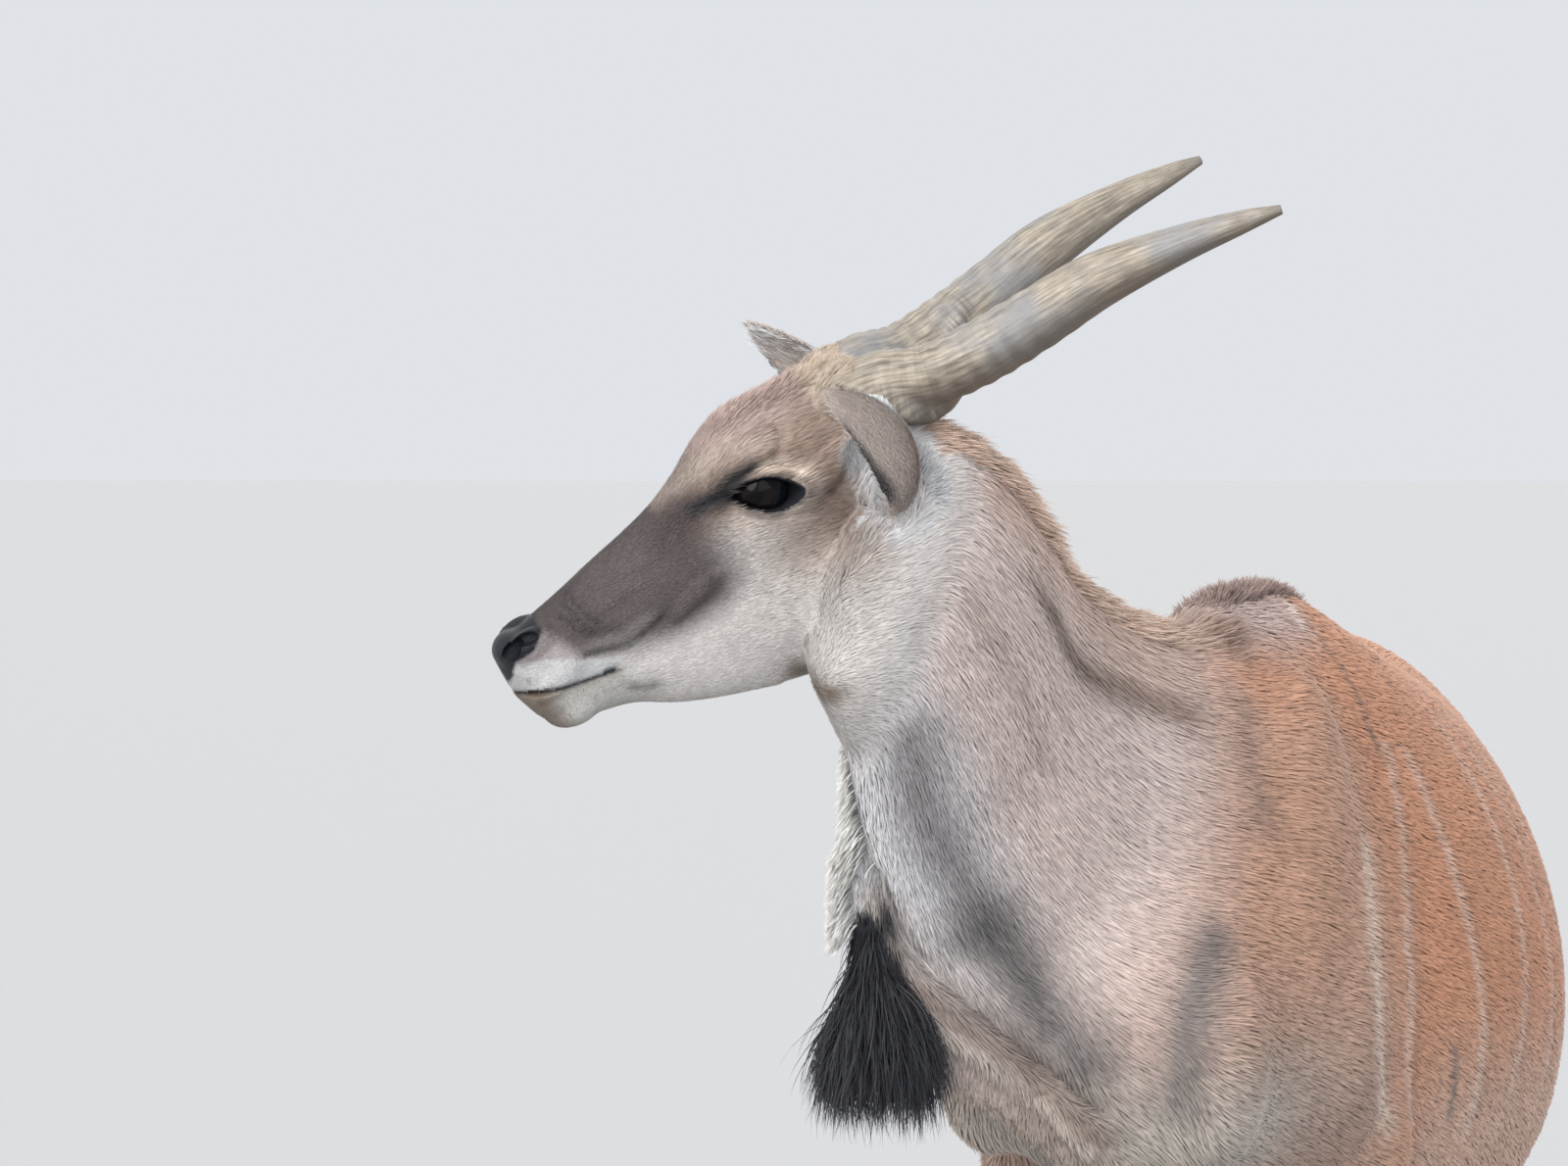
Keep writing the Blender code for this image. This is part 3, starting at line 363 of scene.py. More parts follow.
# %% Neck and dewlap
# centre, reach to the nape, reach to the throat, half width
NECK_ROWS = [
    (-0.400, -0.700, 1.500, 0.106, 0.060, 0.070),
    (-0.355, -0.660, 1.465, 0.150, 0.146, 0.082),
    (-0.312, -0.562, 1.383, 0.165, 0.172, 0.090),
    (-0.290, -0.443, 1.295, 0.194, 0.210, 0.102),
    (-0.245, -0.335, 1.215, 0.226, 0.245, 0.122),
    (-0.175, -0.205, 1.155, 0.232, 0.250, 0.150),
    (-0.095, -0.080, 1.120, 0.205, 0.190, 0.128),
]
NAPE_AT_HEAD = np.array([0.42, 0.12, 0.90])
NAPE_AT_BODY = np.array([0.34, 0.42, 0.84])
# root and edge of the fold under the throat, and its half thickness
DEWLAP_ROWS = [
    (-0.370, -0.530, 1.270, -0.396, -0.552, 1.255, 0.030),
    (-0.352, -0.495, 1.170, -0.432, -0.524, 1.140, 0.034),
    (-0.318, -0.458, 1.090, -0.424, -0.491, 1.040, 0.027),
    (-0.270, -0.420, 1.010, -0.375, -0.462, 0.940, 0.024),
    (-0.215, -0.370, 0.950, -0.290, -0.415, 0.880, 0.026),
    (-0.160, -0.300, 0.880, -0.205, -0.330, 0.800, 0.028),
    (-0.110, -0.200, 0.800, -0.125, -0.210, 0.730, 0.026),
    (-0.080, -0.100, 0.760, -0.085, -0.100, 0.700, 0.020),
]


def neck_frames(count):
    """Centre, left, nape-ward, tail-ward, reach to nape and throat, and half width down the neck."""
    rows = smooth_rows(NECK_ROWS, count)
    frames = []
    for i, row in enumerate(rows):
        ahead = unit(rows[max(i - 1, 0)][:3] - rows[min(i + 1, count - 1)][:3])
        share = i / (count - 1)
        nape = NAPE_AT_HEAD * (1 - share) + NAPE_AT_BODY * share
        nape = unit(nape - ahead * (nape @ ahead))
        frames.append((row[:3], np.cross(nape, ahead), nape, -ahead, row[3], row[4], row[5]))
    return frames


def neck_form(share=1.0):
    rings = []
    for centre, left, nape, _, above, below, half in neck_frames(48)[:int(48 * share)]:
        rings.append(egg(centre, left, nape, half, above, below, 1.75, 1.9, 56))
    return stitch("neck", rings)


def dewlap_form():
    rings = []
    for row in smooth_rows(DEWLAP_ROWS, 60):
        root, edge, half = row[:3], row[3:6], row[6]
        depth = np.linalg.norm(edge - root)
        down = (edge - root) / depth
        left = unit(np.cross(np.array([0.3, 0.55, -0.75]), down))
        rings.append(egg(root, left, down, half, depth, 0.04, 1.35, 2.0, 24))
    return stitch("dewlap", rings)


# centre and half widths of the dense core of the dewlap's tuft
TUFT_CORE = [
    (-0.397, -0.488, 1.125, 0.010, 0.014),
    (-0.402, -0.488, 1.070, 0.013, 0.018),
    (-0.400, -0.486, 1.020, 0.020, 0.028),
    (-0.394, -0.484, 0.980, 0.030, 0.041),
    (-0.390, -0.484, 0.950, 0.026, 0.036),
    (-0.389, -0.484, 0.932, 0.012, 0.018),
]
THROAT_LEFT = np.array([0.55, -0.835, 0.0])
THROAT_AHEAD = np.array([-0.835, -0.55, 0.0])


def tuft_form():
    rings = []
    for x, y, z, wide, deep in smooth_rows(TUFT_CORE, 24):
        rings.append(egg((x, y, z), THROAT_LEFT, THROAT_AHEAD, wide, deep, deep, 2.0, 2.0, 24))
    return stitch("tuft", rings)


# %% [markdown]
# ## Legs and tail
# An antelope's leg is a chain of narrow bones with wide joints: elbow, knee, cannon and fetlock in
# front, and stifle, hock and cannon behind. The rows give each a side, a place along, a height, a
# half width, and a reach ahead and behind.

# %% Legs and tail
FORE_LEFT = (0.125, -0.02)
FORE_RIGHT = (-0.175, -0.16)
HIND_LEFT = (0.135, 1.20)
HIND_RIGHT = (-0.135, 1.10)
HOOF_HEIGHT = 0.066
# share of the side, shift along, height, half width, reach ahead, reach behind
FORELEG_ROWS = [
    (0.90, 0.020, 1.000, 0.050, 0.090, 0.090),
    (0.98, 0.040, 0.860, 0.066, 0.100, 0.110),
    (1.00, 0.030, 0.760, 0.060, 0.080, 0.088),
    (1.00, 0.020, 0.620, 0.047, 0.056, 0.060),
    (1.00, 0.015, 0.510, 0.036, 0.040, 0.042),
    (1.00, 0.010, 0.455, 0.040, 0.044, 0.040),
    (1.00, 0.010, 0.405, 0.038, 0.042, 0.040),
    (1.00, 0.012, 0.350, 0.029, 0.032, 0.034),
    (1.00, 0.012, 0.250, 0.0245, 0.026, 0.029),
    (1.00, 0.012, 0.180, 0.027, 0.028, 0.032),
    (1.00, 0.010, 0.140, 0.034, 0.034, 0.040),
    (1.00, -0.010, 0.105, 0.030, 0.032, 0.034),
    (1.00, -0.025, 0.075, 0.038, 0.044, 0.046),
    (1.00, -0.030, 0.055, 0.038, 0.046, 0.046),
]
HINDLEG_ROWS = [
    (1.05, -0.140, 0.940, 0.080, 0.160, 0.170),
    (1.10, -0.120, 0.830, 0.074, 0.150, 0.150),
    (1.08, -0.065, 0.720, 0.058, 0.110, 0.108),
    (1.03, -0.005, 0.620, 0.042, 0.064, 0.062),
    (1.00, 0.035, 0.550, 0.036, 0.047, 0.050),
    (1.00, 0.045, 0.495, 0.038, 0.046, 0.044),
    (1.00, 0.038, 0.430, 0.031, 0.038, 0.038),
    (1.00, 0.032, 0.330, 0.0265, 0.029, 0.031),
    (1.00, 0.030, 0.220, 0.028, 0.029, 0.033),
    (1.00, 0.028, 0.155, 0.035, 0.035, 0.041),
    (1.00, 0.005, 0.115, 0.030, 0.032, 0.034),
    (1.00, -0.012, 0.078, 0.038, 0.044, 0.046),
    (1.00, -0.016, 0.055, 0.038, 0.046, 0.046),
]
# along, height and radius down the tail
TAIL_PLACES = [
    (1.240, 1.195, 0.034), (1.330, 1.175, 0.032), (1.405, 1.120, 0.027), (1.435, 1.030, 0.022),
    (1.440, 0.900, 0.019), (1.435, 0.760, 0.017), (1.432, 0.640, 0.018), (1.432, 0.570, 0.021),
    (1.432, 0.530, 0.014),
]
TAIL_ROWS = [(0.0, along, height, r, r, r) for along, height, r in TAIL_PLACES]


def limb(rows, side=0.0, along=0.0, sides=32):
    rings = []
    for share, y, z, half, ahead, behind in smooth_rows(rows, 80):
        left = body_left(y + along)
        centre = on_body(share * side, y + along, z)
        rings.append(egg(centre, left, np.cross(UP, left), half, behind, ahead, 2.1, 2.1, sides))
    return stitch("limb", rings)


def leg_forms(rows, side, along, elbow, claw):
    """A leg with the bone that stands out behind it and the two small claws over the hoof."""
    share, back, height, radii = elbow
    forms = [limb(rows, side, along), lump(on_body(side * share, along + back, height), radii)]
    back, height = claw
    for apart in (-0.018, 0.018):
        forms.append(lump(on_body(side + apart, along + back, height), (0.012, 0.014, 0.017)))
    return forms


# the elbow's and the hock's bone, and the small claws, behind each kind of leg
ELBOW = (1.0, 0.085, 0.80, (0.030, 0.035, 0.05))
FORE_CLAW = (0.052, 0.125)
HOCK = (1.0, 0.085, 0.56, (0.016, 0.020, 0.045))
HIND_CLAW = (0.070, 0.140)


def all_legs():
    forms = []
    for place in (FORE_LEFT, FORE_RIGHT):
        forms += leg_forms(FORELEG_ROWS, *place, ELBOW, FORE_CLAW)
    for side, along in (HIND_LEFT, HIND_RIGHT):
        forms += leg_forms(HINDLEG_ROWS, side, along, HOCK, HIND_CLAW)
        forms.append(lump(on_body(side * 1.12, along - 0.24, 0.83), (0.055, 0.07, 0.09)))
    return forms


# %% [markdown]
# ## The head
# The skull is lofted from the nose back, with its underside straight along the jaw. Lumps add the
# nose pad, lips, cheek, brow, cheekbone, horn stumps and ear roots. Thin cutters then open the
# mouth, the comma of each nostril, and the almond between the lids.

# %% Skull and lumps
# ahead, top, underside, half width, height of the widest line, roundness above and below
HEAD_ROWS = [
    (0.318, -0.030, -0.070, 0.014, -0.050, 2.0, 2.0),
    (0.305, -0.014, -0.105, 0.033, -0.055, 2.2, 2.2),
    (0.280, -0.008, -0.126, 0.040, -0.060, 2.2, 2.2),
    (0.250, -0.003, -0.131, 0.042, -0.060, 2.1, 2.2),
    (0.215, 0.004, -0.142, 0.043, -0.060, 2.0, 2.1),
    (0.180, 0.012, -0.164, 0.045, -0.060, 1.9, 2.0),
    (0.140, 0.020, -0.183, 0.050, -0.055, 1.8, 1.9),
    (0.100, 0.030, -0.198, 0.058, -0.045, 1.8, 1.8),
    (0.065, 0.044, -0.210, 0.066, -0.030, 1.9, 1.7),
    (0.030, 0.062, -0.217, 0.072, -0.010, 2.1, 1.65),
    (0.000, 0.070, -0.213, 0.075, 0.000, 2.2, 1.65),
    (-0.050, 0.068, -0.195, 0.074, 0.000, 2.2, 1.8),
    (-0.100, 0.064, -0.165, 0.072, -0.010, 2.0, 2.0),
    (-0.150, 0.040, -0.150, 0.066, -0.030, 2.0, 2.0),
    (-0.185, 0.010, -0.130, 0.050, -0.050, 2.0, 2.0),
]
# centre, radii and pitch of the lumps in the middle, and of those on each side
MIDDLE_LUMPS = [
    ((0.294, 0, -0.026), (0.024, 0.034, 0.021), 0),
    ((0.268, 0, -0.106), (0.036, 0.034, 0.026), 0),
    ((-0.118, 0, 0.043), (0.034, 0.030, 0.024), 0),
]
SIDE_LUMPS = [
    ((0.278, 0.029, -0.024), (0.028, 0.0145, 0.018), 0),
    ((0.262, 0.030, -0.066), (0.046, 0.0165, 0.019), -0.25),
    ((-0.015, 0.043, -0.105), (0.070, 0.028, 0.075), 0),
    ((0.002, 0.052, 0.030), (0.048, 0.028, 0.022), -0.3),
    ((-0.055, 0.066, -0.018), (0.060, 0.018, 0.020), -0.3),
    ((0.075, 0.048, -0.050), (0.075, 0.017, 0.014), -0.35),
    ((-0.128, 0.044, 0.028), (0.042, 0.034, 0.036), 0),
    ((-0.112, 0.076, -0.080), (0.036, 0.030, 0.038), 0),
    (tuple(EYE_CENTRE), (EYE_RADIUS + 0.006,) * 3, 0),
]


def head_lump(centre, radii, pitch=0.0):
    ahead = HEAD[0] * math.cos(pitch) + HEAD[2] * math.sin(pitch)
    up = HEAD[2] * math.cos(pitch) - HEAD[0] * math.sin(pitch)
    return lump(on_head(*centre), radii, (ahead, HEAD[1], up))


def mirrored(centre, side):
    return (centre[0], centre[1] * side, centre[2])


def skull_form():
    rings = []
    for a, top, under, half, wide, power_above, power_below in smooth_rows(HEAD_ROWS, 90):
        rings.append(egg(on_head(a, 0, wide), HEAD[1], HEAD[2], half, top - wide, wide - under,
                         power_above, power_below, 64))
    return stitch("skull", rings)


def head_forms():
    forms = [skull_form()] + [head_lump(*row) for row in MIDDLE_LUMPS]
    for side in (1, -1):
        forms += [head_lump(mirrored(c, side), radii, pitch) for c, radii, pitch in SIDE_LUMPS]
    return forms


# %% Ears
EAR_WALL = 0.0070
EAR_ROOT = np.array([-0.110, 0.078, -0.088])
EAR_TIP = np.array([-0.092, 0.210, 0.092])
EAR_MOUTH = np.array([0.90, -0.45, 0.20])
EAR_BOW = 0.018
# share of the length, half width, depth of the cup, how far the front closes
EAR_ROWS = [
    (0.00, 0.026, 0.018, 1.0),
    (0.12, 0.036, 0.024, 1.0),
    (0.24, 0.045, 0.031, 0.2),
    (0.40, 0.052, 0.034, -1.0),
    (0.60, 0.045, 0.027, -1.0),
    (0.78, 0.030, 0.018, -1.0),
    (0.92, 0.015, 0.010, -1.0),
    (1.00, 0.004, 0.004, -1.0),
]
EAR_SHARES, EAR_HALVES = zip(*[row[:2] for row in EAR_ROWS])
# the ear's length and axis, the way its cup opens, and the way across, in the head's frame
EAR_LENGTH = np.linalg.norm(EAR_TIP - EAR_ROOT)
EAR_AXIS = (EAR_TIP - EAR_ROOT) / EAR_LENGTH
EAR_OPEN = unit(EAR_MOUTH - EAR_AXIS * (EAR_MOUTH @ EAR_AXIS))
EAR_ACROSS = np.cross(EAR_AXIS, EAR_OPEN)


def ear_middle(share):
    """The middle of the bowed ear at a share of its length."""
    outer = np.multiply.outer
    bow = EAR_BOW * np.sin(math.pi * share)
    return EAR_ROOT + outer(share * EAR_LENGTH, EAR_AXIS) - outer(bow, EAR_OPEN)


def ear_form(side, count=48, steps=18):
    """A cupped ear: a round root that opens into a thin-walled scoop with a pointed tip."""
    turn = math.pi * np.arange(steps + 1) / steps
    back = turn[-2:0:-1]
    rings = []
    for share, half, depth, close in smooth_rows(EAR_ROWS, count):
        close = min(1.0, max(-1.0, close))
        wall = min(EAR_WALL, 0.6 * depth)
        inner = depth * close if close > 0 else (depth - wall) * close
        outside = np.outer(half * np.cos(turn), EAR_ACROSS) - np.outer(depth * np.sin(turn), EAR_OPEN)
        inside = (np.outer((half - 0.35 * wall) * np.cos(back), EAR_ACROSS)
                  + np.outer(inner * np.sin(back), EAR_OPEN))
        rings.append(on_side(ear_middle(share) + np.concatenate([outside, inside]), side))
    return stitch("ear", rings)


# %% Mouth, nostrils and lids
# corners of the opening between the lids, ahead and height, from the tear corner over the top
EYE_CORNERS = [(0.0335, 0.0120), (0.0190, 0.0165), (0.0020, 0.0155), (-0.0190, 0.0060),
               (-0.0375, -0.0185), (-0.0220, -0.0255), (-0.0030, -0.0235), (0.0160, -0.0090)]
MOUTH_LINE = [(0.325, 0.000, -0.060), (0.301, 0.030, -0.069), (0.272, 0.045, -0.079),
              (0.245, 0.050, -0.085), (0.217, 0.052, -0.091)]
# depth and lift of the corners of the wedge that opens the mouth
MOUTH_WEDGE = [(-0.010, 0.0040), (0.014, 0.0013), (0.014, -0.0013), (-0.010, -0.0040)]


def almond(grow=0.0, count=48):
    """The closed line of the lids' edge in the plane of the head's side, grown outwards."""
    corners = np.array(EYE_CORNERS + EYE_CORNERS[:3])
    line = np.array(smooth_rows(corners, 6 * len(corners) + 1)[6:-12])
    middle = np.array([EYE_CENTRE[0], EYE_CENTRE[2]])
    out = (line - middle) / np.linalg.norm(line - middle, axis=1)[:, None]
    steps = np.linspace(0, len(line) - 1, count + 1)
    grown = line + out * grow
    return np.stack([np.interp(steps, range(len(line)), grown[:, k]) for k in (0, 1)], axis=1)


def eye_opening(side):
    """An almond-shaped cutter through the lids, wider outside than inside."""
    rings = []
    for out, grow in ((0.010, -0.0060), (0.032, 0.0), (0.070, 0.0120)):
        edge = almond(grow)[:-1]
        rings.append(on_head(edge[:, 0], (EYE_CENTRE[1] + out) * side, edge[:, 1]))
    return stitch("lids", rings)


def mouth_cutter(side):
    """A thin wedge along the line of the mouth, from the front of the lips to the corner."""
    rings = []
    for place in smooth_rows(MOUTH_LINE, 24):
        inward = unit([-0.25, -1.0, 0.0] if place[1] > 0.02 else [-1.0, -0.35, 0.0])
        corners = [place + inward * depth + [0, 0, lift] for depth, lift in MOUTH_WEDGE]
        rings.append(on_side(corners, side))
    return stitch("mouth", rings)


def nostril_cutters(side):
    return [head_lump((0.297, 0.030 * side, -0.020), (0.015, 0.012, 0.0075), -0.35),
            head_lump((0.280, 0.040 * side, -0.014), (0.014, 0.010, 0.0055), 0.25)]


# %% [markdown]
# ## One skin
# The body needs only a coarse skin, but the head needs a fine one, and the two must meet without a
# seam. Both are melted from forms that share the neck, both are cut by one plane behind the ears,
# and a strip of faces bridges the two rims. A little smoothing along the rim hides the join.

# %% Body skin and head skin
# sides of the voxels, and the head's share of the triangles
TRUNK_VOXEL = 0.014
BODY_VOXEL = 0.0118
HEAD_VOXEL = 0.0027
HEAD_TRIANGLES = 84000
CUT_PLACE = on_head(-0.208, 0, -0.070)
CUT_WAY = unit(HEAD[0] * 0.616 + HEAD[2] * 0.788)
CUT_GAP = 0.002
SEAM_WIDTH = 0.030
SEAM_SMOOTHING = 12


def one_side(made, place, way):
    """Removes what lies past a plane, on the side that way points to."""
    with opened(made.data) as work:
        geometry = work.verts[:] + work.edges[:] + work.faces[:]
        bmesh.ops.bisect_plane(work, geom=geometry, plane_co=place, plane_no=way, clear_outer=True)


def smoothed(work, verts, steps):
    for _ in range(steps):
        bmesh.ops.smooth_vert(work, verts=verts, factor=0.5, use_axis_x=True, use_axis_y=True,
                              use_axis_z=True)


def body_skin():
    trunk = melted(joined("trunk", [trunk_form(), neck_form()] + trunk_muscles()), TRUNK_VOXEL, 28)
    forms = [trunk, neck_form(0.62), dewlap_form(), tuft_form(), limb(TAIL_ROWS, sides=24)]
    forms += all_legs()
    skin = melted(joined("skin", forms + [skull_form()]), BODY_VOXEL, 6)
    one_side(skin, CUT_PLACE - CUT_WAY * CUT_GAP, CUT_WAY)
    return skin


def head_skin():
    forms = head_forms() + [neck_form(0.6), ear_form(1), ear_form(-1)]
    head = melted(joined("head", forms), HEAD_VOXEL, 4)
    for side in (1, -1):
        for cutter in [eye_opening(side), mouth_cutter(side)] + nostril_cutters(side):
            cut_by(head, cutter)
    melted(head, 0.9 * HEAD_VOXEL, 1)
    one_side(head, CUT_PLACE + CUT_WAY * CUT_GAP, -CUT_WAY)
    thin = head.modifiers.new("thin", "DECIMATE")
    thin.ratio = HEAD_TRIANGLES / (2 * len(head.data.polygons))
    return evaluated(head)


def bridged(body, head):
    """One skin: the two rims joined by a strip of faces, and smoothed along the join."""
    skin = joined("skin", [body, head])
    with opened(skin.data) as work:
        bmesh.ops.bridge_loops(work, edges=[edge for edge in work.edges if edge.is_boundary])
        near = [v for v in work.verts if abs((np.array(v.co) - CUT_PLACE) @ CUT_WAY) < SEAM_WIDTH]
        smoothed(work, near, SEAM_SMOOTHING)
        face_outwards(work)
        print("open edges", sum(edge.is_boundary for edge in work.edges))
    return skin


skin = bridged(body_skin(), head_skin())
print("skin triangles", sum(len(face.vertices) - 2 for face in skin.data.polygons))

# %% [markdown]
# ## Where a point of the skin lies
# Colours, the lie of the coat and its length all depend on place: how far down the neck, how near
# to an ear, how high on a leg. These helpers turn points into such measures. Each gives 0 to 1, or
# a distance, for thousands of points at once.

# %% Measures of place


def rise(values, low, high):
    """0 below low, 1 above high, and a smooth step between; also falls, where high is below low."""
    t = np.clip((np.asarray(values) - low) / (high - low), 0, 1)
    return t * t * (3 - 2 * t)


def band(values, middle, width):
    return np.exp(-((np.asarray(values) - middle) / width) ** 2)


def line_distance(points, line):
    """Distance of points from a line through a few corners, in a plane or in space."""
    best = np.full(len(points), 1e9)
    line = np.asarray(line, float)
    for p, q in zip(line[:-1], line[1:]):
        along = np.clip(((points - p) @ (q - p)) / ((q - p) @ (q - p)), 0, 1)
        best = np.minimum(best, np.linalg.norm(points - p - along[:, None] * (q - p), axis=1))
    return best


def within(points, line):
    """1 inside a closed line of the plane, counted by crossings."""
    inside = np.zeros(len(points), bool)
    for (x0, y0), (x1, y1) in zip(line, np.roll(line, -1, axis=0)):
        spans = (y0 > points[:, 1]) != (y1 > points[:, 1])
        if y0 != y1:
            inside ^= spans & (points[:, 0] < x0 + (points[:, 1] - y0) * (x1 - x0) / (y1 - y0))
    return inside


def near_line(points, line, width):
    return np.exp(-(line_distance(points, line) / width) ** 2)


# centres, ways to the left, to the nape and to the tail, and reaches, down the neck
NECK_PARTS = [np.array(part) for part in zip(*neck_frames(48))]


def neck_place(points):
    """Share down the neck, place towards the nape and to the left in shares of the reach."""
    centres, lefts, napes, _, above, below, half = NECK_PARTS
    best = np.linalg.norm(points[:, None, :] - centres[None], axis=2).argmin(axis=1)
    apart = points - centres[best]
    nape = (apart * napes[best]).sum(1)
    return (best / (len(centres) - 1), nape / np.where(nape > 0, above[best], below[best]),
            (apart * lefts[best]).sum(1) / half[best])


def trunk_place(points):
    """Station along the bent spine, distance to its left, and height."""
    x, y, z = np.asarray(points, float).T
    station = y.copy()
    for _ in range(6):
        slope = -2 * BEND * np.maximum(0.0, BEND_FROM - station)
        size = np.sqrt(1 + slope ** 2)
        side = (x - spine_x(station)) / size + (y - station) * slope / size
        station = y - side * slope / size
    return station, side, z


def head_share(points):
    return rise((points - CUT_PLACE) @ CUT_WAY, -0.045, 0.025)


def ear_share(points):
    """1 on the ears, fading to 0 over their roots."""
    local = head_local(points)
    local[:, 1] = np.abs(local[:, 1])
    along = (local - EAR_ROOT) @ EAR_AXIS / EAR_LENGTH
    off = np.linalg.norm(local - ear_middle(np.clip(along, 0, 1)), axis=1)
    return rise(along, 0.06, 0.22) * rise(off - np.interp(along, EAR_SHARES, EAR_HALVES), 0.020, 0.008)


def dewlap_share(points):
    edge = smooth_rows([row[3:6] for row in DEWLAP_ROWS], 40)
    return rise(line_distance(points, edge[:33]), 0.085, 0.035)


def leg_share(points):
    """1 on the free part of the legs, fading into the body."""
    return rise(points[:, 2], 0.74, 0.60) * (points[:, 1] < 1.36)


# %% [markdown]
# ## Fine forms of the face
# The lids, the folds behind the nostril, the crease that runs up from the lips and the veins of the
# cheek are too fine for lumps. Each is a line in the plane of the head's side, and the skin near it
# is pushed in or out along its normals, as a finger draws in clay.

# %% Carve the face
# line of (ahead, height), half width, and depth, positive outwards
FOLDS = [
    ([(0.239, -0.014), (0.230, -0.035), (0.222, -0.047)], 0.0022, -0.0012),
    ([(0.229, -0.006), (0.224, -0.030), (0.212, -0.052)], 0.0022, -0.0012),
    ([(0.220, -0.002), (0.214, -0.029), (0.202, -0.052)], 0.0022, -0.0009),
    ([(0.236, -0.062), (0.221, -0.065), (0.195, -0.075), (0.170, -0.072), (0.150, -0.066)],
     0.0035, -0.0022),
    ([(0.225, -0.055), (0.195, -0.064), (0.165, -0.060)], 0.0090, 0.0018),
    ([(0.216, -0.112), (0.206, -0.124), (0.190, -0.130)], 0.0045, -0.0022),
    ([(0.093, 0.011), (0.077, 0.017), (0.053, 0.012), (0.036, 0.016)], 0.0035, -0.0022),
    ([(0.238, 0.010), (0.190, -0.006), (0.131, -0.013), (0.095, -0.004)], 0.0035, 0.0010),
    ([(0.204, -0.030), (0.157, -0.026), (0.120, -0.040), (0.105, -0.070)], 0.0035, 0.0009),
    ([(0.079, 0.016), (0.029, 0.036), (-0.013, 0.036), (-0.044, 0.027)], 0.0080, 0.0022),
    ([(-0.055, -0.030), (-0.075, -0.050), (-0.080, -0.075)], 0.0040, -0.0012),
]
CHEEK_CREASE = [(-0.030, -0.060), (-0.002, -0.098), (0.041, -0.152), (0.055, -0.182), (0.060, -0.225)]
CHEEK_REACH = 0.022
CHEEK_SMOOTHING = 60
# the crease above the fold under the throat, and the fold's own rim, on the left side
FOLD_CREASE = [(-0.393, -0.537, 1.143), (-0.376, -0.505, 1.090), (-0.343, -0.479, 1.043),
               (-0.280, -0.444, 0.985), (-0.231, -0.409, 0.936), (-0.175, -0.385, 0.890)]
FOLD_RIM = [(-0.392, -0.530, 1.105), (-0.380, -0.520, 1.071), (-0.362, -0.499, 1.009),
            (-0.330, -0.459, 0.970), (-0.290, -0.441, 0.945), (-0.232, -0.401, 0.895),
            (-0.185, -0.370, 0.850)]
FOLD_REACH = 0.045
# half width and depth of the rim and of the crease
FOLD_RAISED = (0.011, 0.007)
FOLD_SUNK = (0.008, -0.013)
# growth of the line of the lids, half width, and depth
LID_RIDGE = (0.0045, 0.0035, 0.0016)
LID_CREASE = (0.0125, 0.0030, -0.0014)
COAT_DEPTH = 0.0045
THIN_COAT_DEPTH = 0.0012


def carved(points):
    """How far each point of the head is pushed along its normal."""
    local = head_local(points)
    plane = local[:, [0, 2]]
    aside = rise(np.abs(local[:, 1]), 0.012, 0.026)
    push = np.zeros(len(points))
    for line, width, depth in FOLDS:
        push += near_line(plane, line, width) * depth * aside
    eye_side = rise(np.abs(local[:, 1]), 0.045, 0.060) * rise(local[:, 0], -0.07, -0.05)
    above = rise(plane[:, 1], -0.004, 0.006)
    for (grow, width, depth), shown in ((LID_RIDGE, 1.0), (LID_CREASE, above)):
        push += near_line(plane, almond(grow), width) * depth * eye_side * shown
    push *= head_share(points) * (1 - ear_share(points))
    for line, (width, depth) in ((FOLD_RIM, FOLD_RAISED), (FOLD_CREASE, FOLD_SUNK)):
        push += near_line(points, line, width) * depth
    return push


def read(items, key, width=3):
    """One property of many items, as rows of numbers."""
    flat = np.empty(len(items) * width, np.float32)
    items.foreach_get(key, flat)
    return flat.reshape(-1, width).astype(float)


def places(mesh):
    return read(mesh.vertices, "co")


def normals(mesh):
    return read(mesh.vertex_normals, "vector")


def coat_depth(points):
    """How far the skin lies inside the coat: little on the face, ears and legs."""
    thin = np.maximum(head_share(points), leg_share(points))
    return COAT_DEPTH * (1 - thin) + THIN_COAT_DEPTH * thin


def push_out(mesh, amount):
    moved = places(mesh) + normals(mesh) * amount[:, None]
    mesh.vertices.foreach_set("co", moved.astype(np.float32).ravel())
    mesh.update()


def refined(made, line, reach, cuts):
    """Finer faces near a line of the coarse skin, so that it can be carved."""
    near = line_distance(places(made.data), line) < reach
    with opened(made.data) as work:
        edges = [e for e in work.edges if near[e.verts[0].index] and near[e.verts[1].index]]
        split = bmesh.ops.subdivide_edges(work, edges=edges, cuts=cuts, use_grid_fill=True)
        smoothed(work, [g for g in split["geom_inner"] if isinstance(g, bmesh.types.BMVert)], 4)
        bmesh.ops.triangulate(work, faces=[f for f in work.faces if len(f.verts) > 4])


def softened(made, line, reach, steps):
    """Smooths the skin near a line of the head's side."""
    points = places(made.data)
    near = (line_distance(head_local(points)[:, [0, 2]], line) < reach) & (head_share(points) > 0.0)
    with opened(made.data) as work:
        smoothed(work, [v for v in work.verts if near[v.index]], steps)


def on_skin(made, line):
    """A line through many places of the skin, near a line of a few corners."""
    tree = BVHTree.FromObject(made, bpy.context.evaluated_depsgraph_get())
    return np.array([tree.find_nearest(Vector(p))[0] for p in smooth_rows(line, 6 * len(line))])


